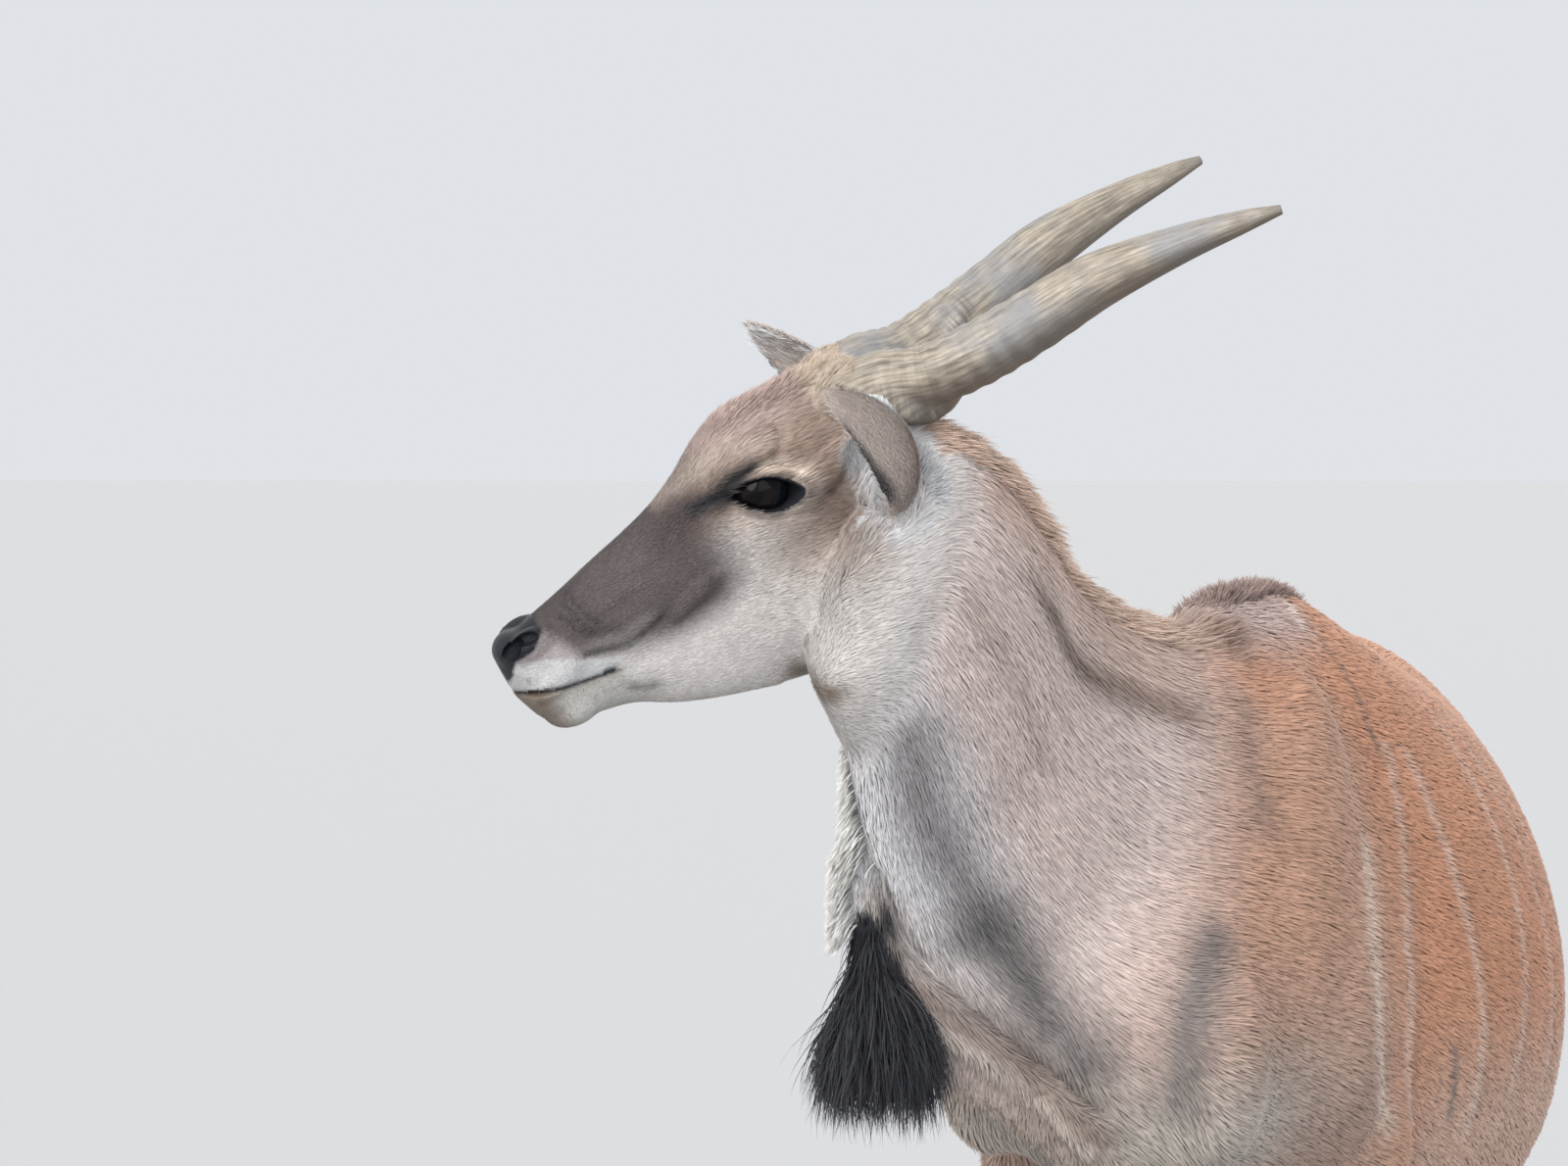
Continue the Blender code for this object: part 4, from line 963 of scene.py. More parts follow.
FOLD_CREASE = on_skin(skin, FOLD_CREASE)
FOLD_RIM = on_skin(skin, FOLD_RIM)
refined(skin, FOLD_RIM, FOLD_REACH, 3)
softened(skin, CHEEK_CREASE, CHEEK_REACH, CHEEK_SMOOTHING)
push_out(skin.data, carved(places(skin.data)) - coat_depth(places(skin.data)))
print("face carved, the skin lies", COAT_DEPTH, "m deep in the coat")

# %% [markdown]
# ## The colours of the coat
# The animal is tawny orange on the back and flanks, taupe on the neck, and grey-white under the
# jaw, with a dark chocolate face, white lips, thin white stripes on the flank and a dark line along
# the back. Each marking is a mask worked out from place, laid over the ones before it like thin
# paint. Skin and coat ask the same function, so a tuft has its root's colour.

# %% The colours
FLANK = (0.48, 0.225, 0.125)
BACK = (0.50, 0.230, 0.125)
SHOULDER = (0.44, 0.255, 0.175)
SHOULDER_LOW = (0.30, 0.225, 0.190)
FLANK_LOW = (0.50, 0.350, 0.280)
HUMP = (0.46, 0.340, 0.305)
BELLY = (0.52, 0.450, 0.380)
CREAM = (0.62, 0.520, 0.440)
STRIPE = (0.66, 0.560, 0.500)
NECK = (0.58, 0.480, 0.445)
# painted shade down the neck
NECK_PAINTED_SHADE = (0.215, 0.200, 0.205)
THROAT = (0.62, 0.630, 0.650)
# dark hair of the nape, the back's line and the pasterns, and also painted shadow beside the stripes
# and in the groove behind the shoulder
DARK_HAIR_AND_SHADE = (0.130, 0.085, 0.065)
NAPE_WARM = (0.52, 0.370, 0.300)
BRISKET = (0.420, 0.400, 0.360)
LEG = (0.40, 0.350, 0.300)
LEG_INSIDE = (0.58, 0.530, 0.480)
BLACK = (0.011, 0.012, 0.016)
FACE_DARK = (0.064, 0.048, 0.048)
FACE_BROWN = (0.250, 0.180, 0.145)
BROW_TAN = (0.32, 0.240, 0.195)
FOREHEAD = (0.42, 0.320, 0.290)
JAW = (0.60, 0.570, 0.550)
CHIN = (0.50, 0.490, 0.465)
CHIN_BROWN = (0.180, 0.130, 0.090)
LIP = (0.48, 0.480, 0.485)
NOSE_SIDE = (0.300, 0.260, 0.260)
BROW_PALE = (0.46, 0.380, 0.325)
BUMP = (0.52, 0.435, 0.350)
LID = (0.012, 0.013, 0.018)
EAR_BACK = (0.56, 0.480, 0.435)
EAR_PALE = (0.64, 0.650, 0.670)
FOLD_BROWN = (0.215, 0.165, 0.140)
LOW_DARK = (0.110, 0.105, 0.105)
STRIPE_FIRST = 0.315
STRIPE_SPACING = 0.118
STRIPE_WIDTH = 0.0080
STRIPE_SHADOW = 0.017
STRIPE_SWAY = 0.03
STRIPES = 7

# %% [markdown]
# ### Marks along lines
# Stripes, painted shade in grooves and creases, a painted highlight on the shoulder's edge, and the
# small marks of the face follow lines. Some lines lie flat on the trunk or on the head's side, some
# run down the neck, and those of the fold lie free in space.

# %% Lines of the marks
# lines of station and height on the trunk: half width, colour, strength
BODY_MARKS = [
    # the shoulder's rear edge, lit: a painted highlight in cream
    ([(-0.010, 1.150), (-0.038, 1.047), (-0.060, 0.943), (-0.023, 0.854)], 0.0140, CREAM, 0.65),
    ([(0.126, 1.250), (0.086, 1.146), (0.041, 1.041), (0.034, 0.939), (0.040, 0.850)],
     0.0085, STRIPE, 0.45),
    # a painted shadow beside the first stripe
    ([(0.138, 1.250), (0.100, 1.146), (0.056, 1.041), (0.049, 0.939), (0.055, 0.850)],
     0.0090, DARK_HAIR_AND_SHADE, 0.22),
    ([(0.172, 1.240), (0.189, 1.118), (0.198, 1.030), (0.209, 0.942), (0.214, 0.820)],
     0.0085, STRIPE, 0.45),
    # a painted shadow beside the second stripe
    ([(0.187, 1.240), (0.204, 1.118), (0.213, 1.030), (0.224, 0.942), (0.229, 0.820)],
     0.0090, DARK_HAIR_AND_SHADE, 0.22),
    # painted shadow in the groove behind the shoulder blade
    ([(0.080, 1.395), (0.093, 1.361), (0.111, 1.317), (0.098, 1.242)], 0.0050, DARK_HAIR_AND_SHADE, 0.85),
    ([(0.070, 1.413), (0.064, 1.385)], 0.0080, STRIPE, 0.95),
    ([(-0.165, 1.310), (-0.196, 1.234), (-0.197, 1.182)], 0.0180, LOW_DARK, 0.35),
    ([(0.148, 0.915), (0.163, 0.836)], 0.0065, LOW_DARK, 0.80),
]
# lines of share down the neck and place towards the nape
NECK_MARKS = [
    ([(0.34, 0.50), (0.43, 0.45), (0.60, 0.59), (0.70, 0.61)], 0.070, DARK_HAIR_AND_SHADE, 0.90),
    ([(0.14, 0.10), (0.30, -0.05), (0.44, -0.10)], 0.060, FACE_BROWN, 0.30),
    ([(0.60, -1.00), (0.72, -1.05)], 0.016, LOW_DARK, 0.70),
]
# lines of the animal's frame: painted shade down the neck, darkest at its low end, and painted shade
# on the shoulder
PAINTED_SHADE_MARKS = [
    ([(-0.342, -0.670, 1.294), (-0.336, -0.613, 1.219), (-0.311, -0.546, 1.156),
      (-0.285, -0.490, 1.093)], 0.036, NECK_PAINTED_SHADE, 0.90),
    ([(-0.285, -0.490, 1.093), (-0.256, -0.442, 1.041), (-0.226, -0.416, 0.987),
      (-0.194, -0.412, 0.946)], 0.044, LOW_DARK, 0.92),
    ([(-0.065, -0.358, 1.063), (-0.082, -0.387, 1.007), (-0.088, -0.396, 0.942),
      (-0.090, -0.396, 0.900)], 0.030, LOW_DARK, 0.85),
]
# along the fold of the throat: brown between its rim and its crease, the pale rim, and painted shade
# in the crease twice, wide and narrow
FOLD_MARKS = [
    ((FOLD_CREASE + FOLD_RIM[6:]) / 2, 0.022, FOLD_BROWN, 0.95),
    (FOLD_RIM, 0.0085, LEG_INSIDE, 0.7),
    (FOLD_CREASE, 0.014, LOW_DARK, 0.45),
    (FOLD_CREASE, 0.0045, BLACK, 0.85),
]
# lines of ahead and height on the head's side: behind and over the eye, and then round it
BROW_MARKS = [
    ([(-0.067, 0.035), (-0.060, -0.025), (-0.057, -0.060)], 0.021, FACE_BROWN, 0.9),
    ([(0.100, 0.032), (0.057, 0.045), (0.015, 0.050), (-0.022, 0.040)], 0.0075, BROW_PALE, 0.7),
]
EYE_MARKS = [
    ([(0.098, 0.031), (0.060, 0.038), (0.030, 0.045)], 0.0070, BROW_PALE, 0.6),
    ([(0.115, 0.000), (0.075, 0.012), (0.045, 0.010)], 0.012, FACE_DARK, 0.95),
    ([(0.068, 0.014), (0.044, 0.018), (0.024, 0.028), (0.002, 0.030)], 0.0085, BLACK, 0.95),
    ([(0.044, 0.012), (0.022, 0.025)], 0.0085, BLACK, 0.85),
    ([(-0.006, 0.0235), (-0.025, 0.0145), (-0.042, -0.003)], 0.0062, CREAM, 0.9),
    ([(0.036, -0.018), (0.012, -0.032), (-0.020, -0.040)], 0.0100, CREAM, 0.5),
]
CHIN_BEARD = [(0.060, -0.195), (0.045, -0.210)]
CHIN_FOLD = [(0.214, -0.117), (0.203, -0.126), (0.190, -0.131)]
MOUTH_CORNER = [(0.226, -0.0875), (0.219, -0.0885)]
MOUTH_DARK = [(row[0], row[2]) for row in MOUTH_LINE]
EAR_HALO = [(-0.146, -0.018), (-0.154, -0.044), (-0.144, -0.074), (-0.116, -0.094),
            (-0.082, -0.092)]
# edges of patches on the head's side: heights at places ahead
NOSE_UNDERSIDE = ([0.255, 0.262, 0.279, 0.300, 0.311, 0.325],
                  [-0.010, -0.017, -0.029, -0.031, -0.046, -0.058])
LIP_TOP = ([0.200, 0.212, 0.244, 0.270, 0.301, 0.325],
           [-0.085, -0.078, -0.061, -0.045, -0.033, -0.050])
MOUTH_HEIGHT = ([0.200, 0.217, 0.245, 0.272, 0.301, 0.330],
                [-0.093, -0.090, -0.085, -0.079, -0.070, -0.058])
DARK_FACE_EDGE = ([0.040, 0.052, 0.089, 0.147, 0.199, 0.240, 0.262],
                  [-0.020, -0.062, -0.078, -0.082, -0.070, -0.050, -0.010])

# %% [markdown]
# ### Painting
# Masks rise and fall over heights and places, and each part of the animal adds its own coats of
# paint in turn: the trunk, the neck, the limbs, the head and the ears.

# %% Paint the body
# where the trunk's colour and lie give way to the neck's, and the way to the neck
NECK_PLANE = np.array([-0.170, -0.290, 1.170])
NECK_WAY = unit([-0.346, -0.816, 0.442])


def wet_nose(local):
    """1 on the bare, shining skin of the nose."""
    ahead, height = local[:, 0], local[:, 2]
    under = np.interp(ahead, *NOSE_UNDERSIDE)
    return rise(ahead, 0.2575, 0.2625) * rise(height, under - 0.0015, under + 0.0015)


def layered(colour, coats):
    """Thin coats of paint over a colour, each a shade and a mask."""
    for shade, mask in coats:
        colour = colour + (np.array(shade) - colour) * np.clip(mask, 0, 1)[:, None]
    return colour


def drawn(colour, points, marks, shown=1.0):
    """Marks drawn over a colour: each a line, its half width, its colour and its strength."""
    return layered(colour, [(shade, near_line(points, line, width) * amount * shown)
                            for line, width, shade, amount in marks])


def body_colours(points):
    station, side, z = trunk_place(points)
    colour = layered(np.tile(FLANK, (len(points), 1)), [
        (BACK, rise(z, 1.12, 1.33)),
        (SHOULDER, rise(station, 0.10, -0.05) * rise(z, 1.42, 1.25)),
        (SHOULDER_LOW, rise(station, 0.06, -0.12) * rise(z, 1.10, 0.86) * 0.8),
        (FLANK_LOW, rise(z, 1.00, 0.80) * rise(station, 0.0, 0.15) * 0.8),
        (HUMP, rise(z, 1.33, 1.40) * rise(station, 0.14, 0.02)),
        (BELLY, rise(z, 0.76, 0.64) * rise(station, 0.05, 0.2))])
    for number in range(STRIPES):
        middle = STRIPE_FIRST + STRIPE_SPACING * number + STRIPE_SWAY * np.sin(7.0 * z + number)
        fade = rise(z, 0.74, 0.90) * rise(z, 1.33, 1.22) * (0.42 - 0.04 * number)
        shadow = band(station, middle + STRIPE_SHADOW, STRIPE_WIDTH)
        colour = layered(colour, [(STRIPE, band(station, middle, STRIPE_WIDTH) * fade),
                                  (DARK_HAIR_AND_SHADE, shadow * fade * 0.35)])
    spine = band(side, 0, 0.014) * rise(z, 1.10, 1.2) * rise(station, -0.1, 0.25)
    return layered(colour, [(DARK_HAIR_AND_SHADE, spine * 0.75)])


def neck_colours(points, colour):
    z = points[:, 2]
    share, nape, _ = neck_place(points)
    on_neck = rise((points - NECK_PLANE) @ NECK_WAY, -0.100, 0.075)
    colour = layered(colour, [
        (NECK, on_neck),
        (THROAT, rise(nape, -0.30, -0.85) * rise(share, 0.75, 0.50) * on_neck * 0.85),
        (THROAT, rise(share, 0.26, 0.08) * rise(nape, -0.10, -0.55) * on_neck * 0.85)])
    colour = drawn(colour, np.stack([share, nape], axis=1), NECK_MARKS, rise(on_neck, 0.0, 0.3))
    colour = layered(colour, [
        (NAPE_WARM, rise(nape, 0.40, 0.85) * rise(z, 1.10, 1.2) * on_neck * 0.8),
        (BRISKET, rise(z, 0.98, 0.86) * rise(points[:, 1], -0.16, -0.30) * 0.7)])
    # painted shade down the neck and on the shoulder
    colour = drawn(colour, points, PAINTED_SHADE_MARKS)
    flat = np.stack(trunk_place(points)[0:3:2], axis=1)
    colour = drawn(colour, flat, BODY_MARKS, rise(z, 1.45, 1.43))
    # the fold's colours, with painted shade in its crease
    return drawn(colour, points, FOLD_MARKS)


def limb_colours(points, colour):
    """Legs with pale insides and dark pasterns, the tail, the dewlap's fold and its tuft."""
    x, y, z = points.T
    inside = np.zeros(len(points))
    for side, along in (FORE_LEFT, FORE_RIGHT, HIND_LEFT, HIND_RIGHT):
        near = rise(np.abs(y - along), 0.22, 0.14)
        inner = (on_body(side, along, 0)[0] - x) * math.copysign(1, side)
        inside = np.maximum(inside, near * rise(inner, 0.002, 0.022))
    on_tail = rise(y, 1.36, 1.39)
    reach = np.interp(z, [0.98, 1.07], [0.050, 0.024])
    core = line_distance(points, [row[:3] for row in TUFT_CORE]) / reach
    return layered(colour, [
        (LEG, leg_share(points)),
        (LEG_INSIDE, inside * rise(z, 0.80, 0.64)),
        (BLACK, inside * band(z, 0.60, 0.045) * rise(y, 0.25, 0.10) * 0.85),
        (DARK_HAIR_AND_SHADE, band(z, 0.150, 0.016) * 0.75),
        (LEG_INSIDE, band(z, 0.098, 0.016) * 0.6),
        (FLANK, on_tail),
        (BLACK, on_tail * rise(z, 0.70, 0.60)),
        (FACE_BROWN, dewlap_share(points) * rise(z, 1.12, 1.02) * 0.5),
        (BLACK, rise(core, 1.2, 0.9))])


# %% Paint the head


def spot(points, middle, radii):
    """1 in the middle of a soft oval, fading outwards."""
    return np.exp(-(((points - middle) / radii) ** 2).sum(1))


def head_colours(points, colour):
    """A face of its own, from the jaw's grey to the black nose, that fades out at the neck."""
    local = head_local(points)
    ahead, side, height = local.T
    side = np.abs(side)
    plane = local[:, [0, 2]]
    face = layered(np.tile(JAW, (len(points), 1)), [
        (FACE_BROWN, spot(plane, (-0.03, -0.055), (0.06, 0.045)) * 0.8),
        (BROW_TAN, rise(height, -0.040, 0.010) * rise(ahead, 0.13, 0.08)),
        (BROW_TAN, spot(plane, (-0.024, -0.086), (0.05, 0.03)) * 0.6),
        (FOREHEAD, rise(height, 0.035, 0.060) * rise(ahead, 0.10, 0.03))])
    face = drawn(face, plane, BROW_MARKS)
    edge = np.interp(ahead, *DARK_FACE_EDGE)
    dark = rise(height, edge - 0.030, edge + 0.012) * rise(ahead, 0.028, 0.092)
    face = layered(face, [
        (BUMP, rise(ahead, -0.075, -0.095) * rise(height, 0.030, 0.055)),
        (NOSE_SIDE, rise(ahead, 0.190, 0.225) * rise(height, -0.090, -0.060) * 0.85),
        (CHIN_BROWN, near_line(plane, CHIN_BEARD, 0.012) * 0.85),
        (FACE_DARK, dark * rise(ahead, 0.290, 0.262) * 0.95)])
    face = drawn(face, plane, EYE_MARKS)
    # painted shade, in black, in the creases behind the nostril and along the upper lip
    face = drawn(face, plane, [(line, width * 1.2, BLACK, 0.55) for line, width, _ in FOLDS[:4]])
    lip_top = np.interp(ahead, *LIP_TOP)
    mouth = np.interp(ahead, *MOUTH_HEIGHT)
    lip = rise(height, mouth - 0.001, mouth + 0.001) * rise(height, lip_top + 0.003, lip_top - 0.003)
    chin = rise(height, mouth + 0.001, mouth - 0.002) * rise(ahead, 0.195, 0.225)
    lids = almond()
    bare = np.maximum(within(plane, lids), rise(line_distance(plane, lids), 0.0040, 0.0022))
    face = layered(face, [
        (JAW, near_line(plane, FOLDS[4][0], 0.006) * 0.15),
        (LIP, lip * rise(ahead, 0.206, 0.216)),
        (CHIN, chin),
        (CHIN_BROWN, chin * rise(ahead, 0.272, 0.300) * 0.8),
        (CHIN_BROWN, chin * near_line(plane, MOUTH_DARK, 0.0085) * 0.45),
        (BLACK, near_line(plane, MOUTH_DARK, 0.0026) * rise(side, 0.0, 0.01)),
        (LID, near_line(plane, MOUTH_CORNER, 0.0035) * rise(side, 0.02, 0.03)),
        # painted shade in the sunk crease of the chin
        (FACE_DARK, near_line(plane, CHIN_FOLD, 0.005) * 0.6),
        (LID, bare * rise(side, 0.035, 0.050)),
        (BLACK, wet_nose(local))])
    return colour + (face - colour) * head_share(points)[:, None]


def ear_colours(points, colour):
    """Taupe backs, pale rims and cups, a dark front edge, and white hair behind the root."""
    local = head_local(points)
    local[:, 1] = np.abs(local[:, 1])
    from_root = local - EAR_ROOT
    along = from_root @ EAR_AXIS / EAR_LENGTH
    wide = from_root @ EAR_ACROSS / np.interp(along, EAR_SHARES, EAR_HALVES)
    ears = ear_share(points)
    halo = near_line(local[:, [0, 2]], EAR_HALO, 0.012) * rise(local[:, 1], 0.05, 0.07)
    return layered(colour, [
        (EAR_PALE, halo * 0.8),
        (EAR_BACK, ears),
        (EAR_PALE, ears * rise(along, 0.30, 0.10) * 0.7),
        (EAR_PALE, ears * rise(wide, -0.45, -0.90) * rise(along, 0.85, 0.45)),
        (EAR_PALE, ears * rise(from_root @ EAR_OPEN, -0.004, 0.004) * 0.85),
        (BLACK, ears * rise(wide, 0.80, 0.96) * rise(along, 0.30, 0.42) * 0.9)])


def paint(points):
    """The coat's colour at points of the animal's frame."""
    colour = body_colours(points)
    for laid in (neck_colours, limb_colours, head_colours, ear_colours):
        colour = laid(points, colour)
    return colour


def store(mesh, name, kind, values, domain="POINT"):
    """Writes an array to a named attribute of a mesh."""
    layer = mesh.attributes.new(name, kind, domain)
    key = {"FLOAT_COLOR": "color", "FLOAT_VECTOR": "vector", "FLOAT2": "vector"}.get(kind, "value")
    values = np.asarray(values, np.float32)
    if kind == "FLOAT_COLOR":
        values = np.concatenate([values, np.ones((len(values), 1), np.float32)], axis=1)
    layer.data.foreach_set(key, values.ravel())


skin_points = places(skin.data)
store(skin.data, "tint", "FLOAT_COLOR", paint(skin_points))
store(skin.data, "wet", "FLOAT", wet_nose(head_local(skin_points)) * head_share(skin_points))
print("skin painted", paint(skin_points[:4000:1000]).round(2).tolist())

# %% [markdown]
# ## The way the hair lies
# Hair grows from the nose back over the face, down the neck, back over the trunk and down the legs.
# Each point of the skin gets a direction, blended between those four and pressed flat on the skin.

# %% Lie of the coat


def lie(points, outward):
    """The way the hair points, flat on the skin, where outward is the skin's normal."""
    share = neck_place(points)[0]
    tailwards = NECK_PARTS[3]
    last = len(tailwards) - 1
    down_neck = tailwards[np.clip((share * last).astype(int), 0, last)]
    along_spine = 2 * BEND * np.maximum(0, BEND_FROM - points[:, 1])
    back = np.stack([along_spine, np.ones(len(points)), -0.35 * np.ones(len(points))], axis=1)
    on_neck = rise((points - NECK_PLANE) @ NECK_WAY, -0.10, 0.06)
    way = back + (down_neck * [1, 1, 1.2] - back) * on_neck[:, None]
    drop = np.maximum(leg_share(points), dewlap_share(points))
    drop = np.maximum(drop, rise(points[:, 1], 1.36, 1.39))
    way += (-UP - way) * drop[:, None]
    over_face = -HEAD[0] - HEAD[2] * 0.15
    way += (over_face - way) * head_share(points)[:, None]
    side = np.sign(head_local(points)[:, 1])
    up_ear = HEAD[0] * EAR_AXIS[0] + np.outer(side, HEAD[1]) * EAR_AXIS[1] + HEAD[2] * EAR_AXIS[2]
    way += (up_ear - way) * ear_share(points)[:, None]
    way -= outward * (way * outward).sum(1)[:, None]
    return way / np.maximum(np.linalg.norm(way, axis=1), 1e-6)[:, None]


skin_normals = normals(skin.data)
store(skin.data, "lie", "FLOAT_VECTOR", lie(skin_points, skin_normals))

# %% [markdown]
# ## Effects as node groups
# Coat, skin and horns share one effect, and the skin has another of its own, so each is a node
# group. One mottles a colour with soft clouds at two sizes. The other makes short streaks, thin
# across the hair and long along it, by stretching the noise; the skin uses it for light and dark
# and as relief, where the coat lies flat.

# %% Node group tools


def new_group(name, inputs, outputs, kind="ShaderNodeTree"):
    """A node tree with named inputs, each with a default or None, and named outputs."""
    tree = bpy.data.node_groups.new(name, kind)
    for label, socket_kind, value in inputs:
        socket = tree.interface.new_socket(label, in_out="INPUT",
                                           socket_type="NodeSocket" + socket_kind)
        if value is not None:
            socket.default_value = value
    for label, socket_kind in outputs:
        tree.interface.new_socket(label, in_out="OUTPUT", socket_type="NodeSocket" + socket_kind)
    return tree, tree.nodes.new("NodeGroupInput").outputs, tree.nodes.new("NodeGroupOutput")


def feed(tree, node, values):
    """Gives a node's inputs, by name or number, a value or the socket of another node."""
    for key, value in dict(values).items():
        if isinstance(value, bpy.types.NodeSocket):
            tree.links.new(value, node.inputs[key])
        else:
            node.inputs[key].default_value = value
    return node


def add(tree, kind, values=(), **settings):
    """A new node with its settings and inputs."""
    made = tree.nodes.new(kind)
    for key, value in settings.items():
        setattr(made, key, value)
    return feed(tree, made, values)


def maths(tree, operation, a, b):
    return add(tree, "ShaderNodeMath", {0: a, 1: b}, operation=operation).outputs[0]


def vectors(tree, operation, a, b=(0.0, 0.0, 0.0), out="Vector"):
    return add(tree, "ShaderNodeVectorMath", {0: a, 1: b}, operation=operation).outputs[out]


def scaled(tree, vector, by):
    made = add(tree, "ShaderNodeVectorMath", {0: vector, "Scale": by}, operation="SCALE")
    return made.outputs["Vector"]


def noise(tree, where, scale, detail):
    values = {"Vector": where, "Scale": scale, "Detail": detail}
    return add(tree, "ShaderNodeTexNoise", values).outputs["Fac"]


def object_place(tree):
    return add(tree, "ShaderNodeTexCoord").outputs["Object"]


def mottle_group():
    """A colour with soft clouds at two sizes, and the larger clouds by themselves."""
    tree, given, out = new_group("mottle", [("Colour", "Color", (1, 1, 1, 1)),
                                            ("Amount", "Float", 0.15)],
                                 [("Colour", "Color"), ("Cloud", "Float")])
    where = object_place(tree)
    large = noise(tree, where, 9.0, 4.0)
    swing = maths(tree, "ADD", maths(tree, "ADD", large, noise(tree, where, 70.0, 3.0)), -1.0)
    factor = maths(tree, "ADD", maths(tree, "MULTIPLY", swing, given["Amount"]), 1.0)
    feed(tree, out, {"Colour": scaled(tree, given["Colour"], factor), "Cloud": large})
    return tree


def streak_group():
    """Streaks of short hair: noise that is squeezed across the way the coat lies."""
    tree, given, out = new_group("streaks", [("Lie", "Vector", None), ("Scale", "Float", 420.0),
                                             ("Stretch", "Float", 0.86)], [("Streak", "Float")])
    where = object_place(tree)
    along = vectors(tree, "DOT_PRODUCT", where, given["Lie"], "Value")
    shift = scaled(tree, given["Lie"], maths(tree, "MULTIPLY", along, given["Stretch"]))
    squeezed = vectors(tree, "SUBTRACT", where, shift)
    feed(tree, out, {"Streak": noise(tree, squeezed, given["Scale"], 2.0)})
    return tree


MOTTLE = mottle_group()
STREAKS = streak_group()

# %% [markdown]
# ## The skin's material
# The skin shows between the tufts and carries the face. It takes its colour from the painted tint,
# mottled and streaked by the groups, and its relief from the streaks. Where the nose is wet it is
# smooth and shining, with the fine pebbles of a real nose instead of hair.

# %% Skin material


def new_material(name):
    made = bpy.data.materials.new(name)
    made.use_nodes = True
    return made, made.node_tree, made.node_tree.nodes["Principled BSDF"]


def stored(tree, name, out="Fac"):
    """What the mesh stores under a name."""
    return add(tree, "ShaderNodeAttribute", attribute_name=name).outputs[out]


def ranged(tree, value, low, high, to_low=0.0, to_high=1.0):
    """A value brought from one range into another, and held at its ends."""
    return add(tree, "ShaderNodeMapRange", {"Value": value, "From Min": low, "From Max": high,
                                            "To Min": to_low, "To Max": to_high}).outputs[0]


def relief(tree, height, strength, distance):
    values = {"Strength": strength, "Distance": distance, "Height": height}
    return add(tree, "ShaderNodeBump", values).outputs[0]


def mottled(tree, colour, amount):
    return add(tree, "ShaderNodeGroup", {"Colour": colour, "Amount": amount},
               node_tree=MOTTLE).outputs


def skin_material():
    made, tree, shader = new_material("eland_skin")
    wet = stored(tree, "wet")
    streaks = add(tree, "ShaderNodeGroup", {"Lie": stored(tree, "lie", "Vector"), "Scale": 520.0,
                                            "Stretch": 0.88}, node_tree=STREAKS).outputs["Streak"]
    cloudy = mottled(tree, stored(tree, "tint", "Color"), 0.35)["Colour"]
    values = {"Vector": object_place(tree), "Scale": 700.0}
    pebbles = add(tree, "ShaderNodeTexVoronoi", values).outputs["Distance"]
    height = add(tree, "ShaderNodeMix", {"Factor": wet, "A": streaks, "B": pebbles})
    feed(tree, shader, {
        "Base Color": scaled(tree, cloudy, ranged(tree, streaks, 0.3, 0.7, 0.72, 1.22)),
        "Roughness": ranged(tree, wet, 0.0, 1.0, 0.78, 0.24),
        "Specular IOR Level": 0.20,
        "Normal": relief(tree, height.outputs["Result"], 0.55, 0.0016)})
    return made


SKIN_FINISH = skin_material()
skin.data.materials.clear()
skin.data.materials.append(SKIN_FINISH)
skin.data.shade_smooth()

# %% [markdown]
# ## Eyes
# A grazing animal's eye is a dark ball with a wide, level pupil that is hardly told from the iris.
# A clear dome bulges over it, and that wet dome gives the eye its life, so the ball gets a bulge and
# a smooth finish. The ball's own directions are stored, so that the pupil keeps its place.

# %% Make the eyes
EYE_SIDEWAYS = math.radians(66)
EYE_GAP = 0.0004
CORNEA_ANGLE = math.radians(38)
CORNEA_BULGE = 0.0016
POLE_TILT = 0.004
PUPIL = (0.0015, 0.0015, 0.002, 1)
IRIS = (0.004, 0.003, 0.003, 1)
IRIS_RAY = (0.008, 0.006, 0.006, 1)
EYE_EDGE = (0.006, 0.007, 0.010, 1)


def blended(tree, factor, under, over):
    """Two colours mixed by a factor."""
    values = {"Factor": factor, "A": under, "B": over}
    return add(tree, "ShaderNodeMix", values, data_type="RGBA").outputs["Result"]


def eye_material():
    made, tree, shader = new_material("eland_eye")
    gaze = stored(tree, "gaze", "Vector")
    oval, disc = (vectors(tree, "LENGTH", vectors(tree, "MULTIPLY", gaze, squash), out="Value")
                  for squash in ((1.0, 1.9, 0.0), (1.0, 1.0, 0.0)))
    iris = blended(tree, noise(tree, gaze, 9.0, 6.0), IRIS, IRIS_RAY)
    inner = blended(tree, ranged(tree, oval, 0.36, 0.42), PUPIL, iris)
    feed(tree, shader, {"Base Color": blended(tree, ranged(tree, disc, 0.60, 0.72), inner, EYE_EDGE),
                        "Roughness": 0.04, "Specular IOR Level": 0.13})
    return made


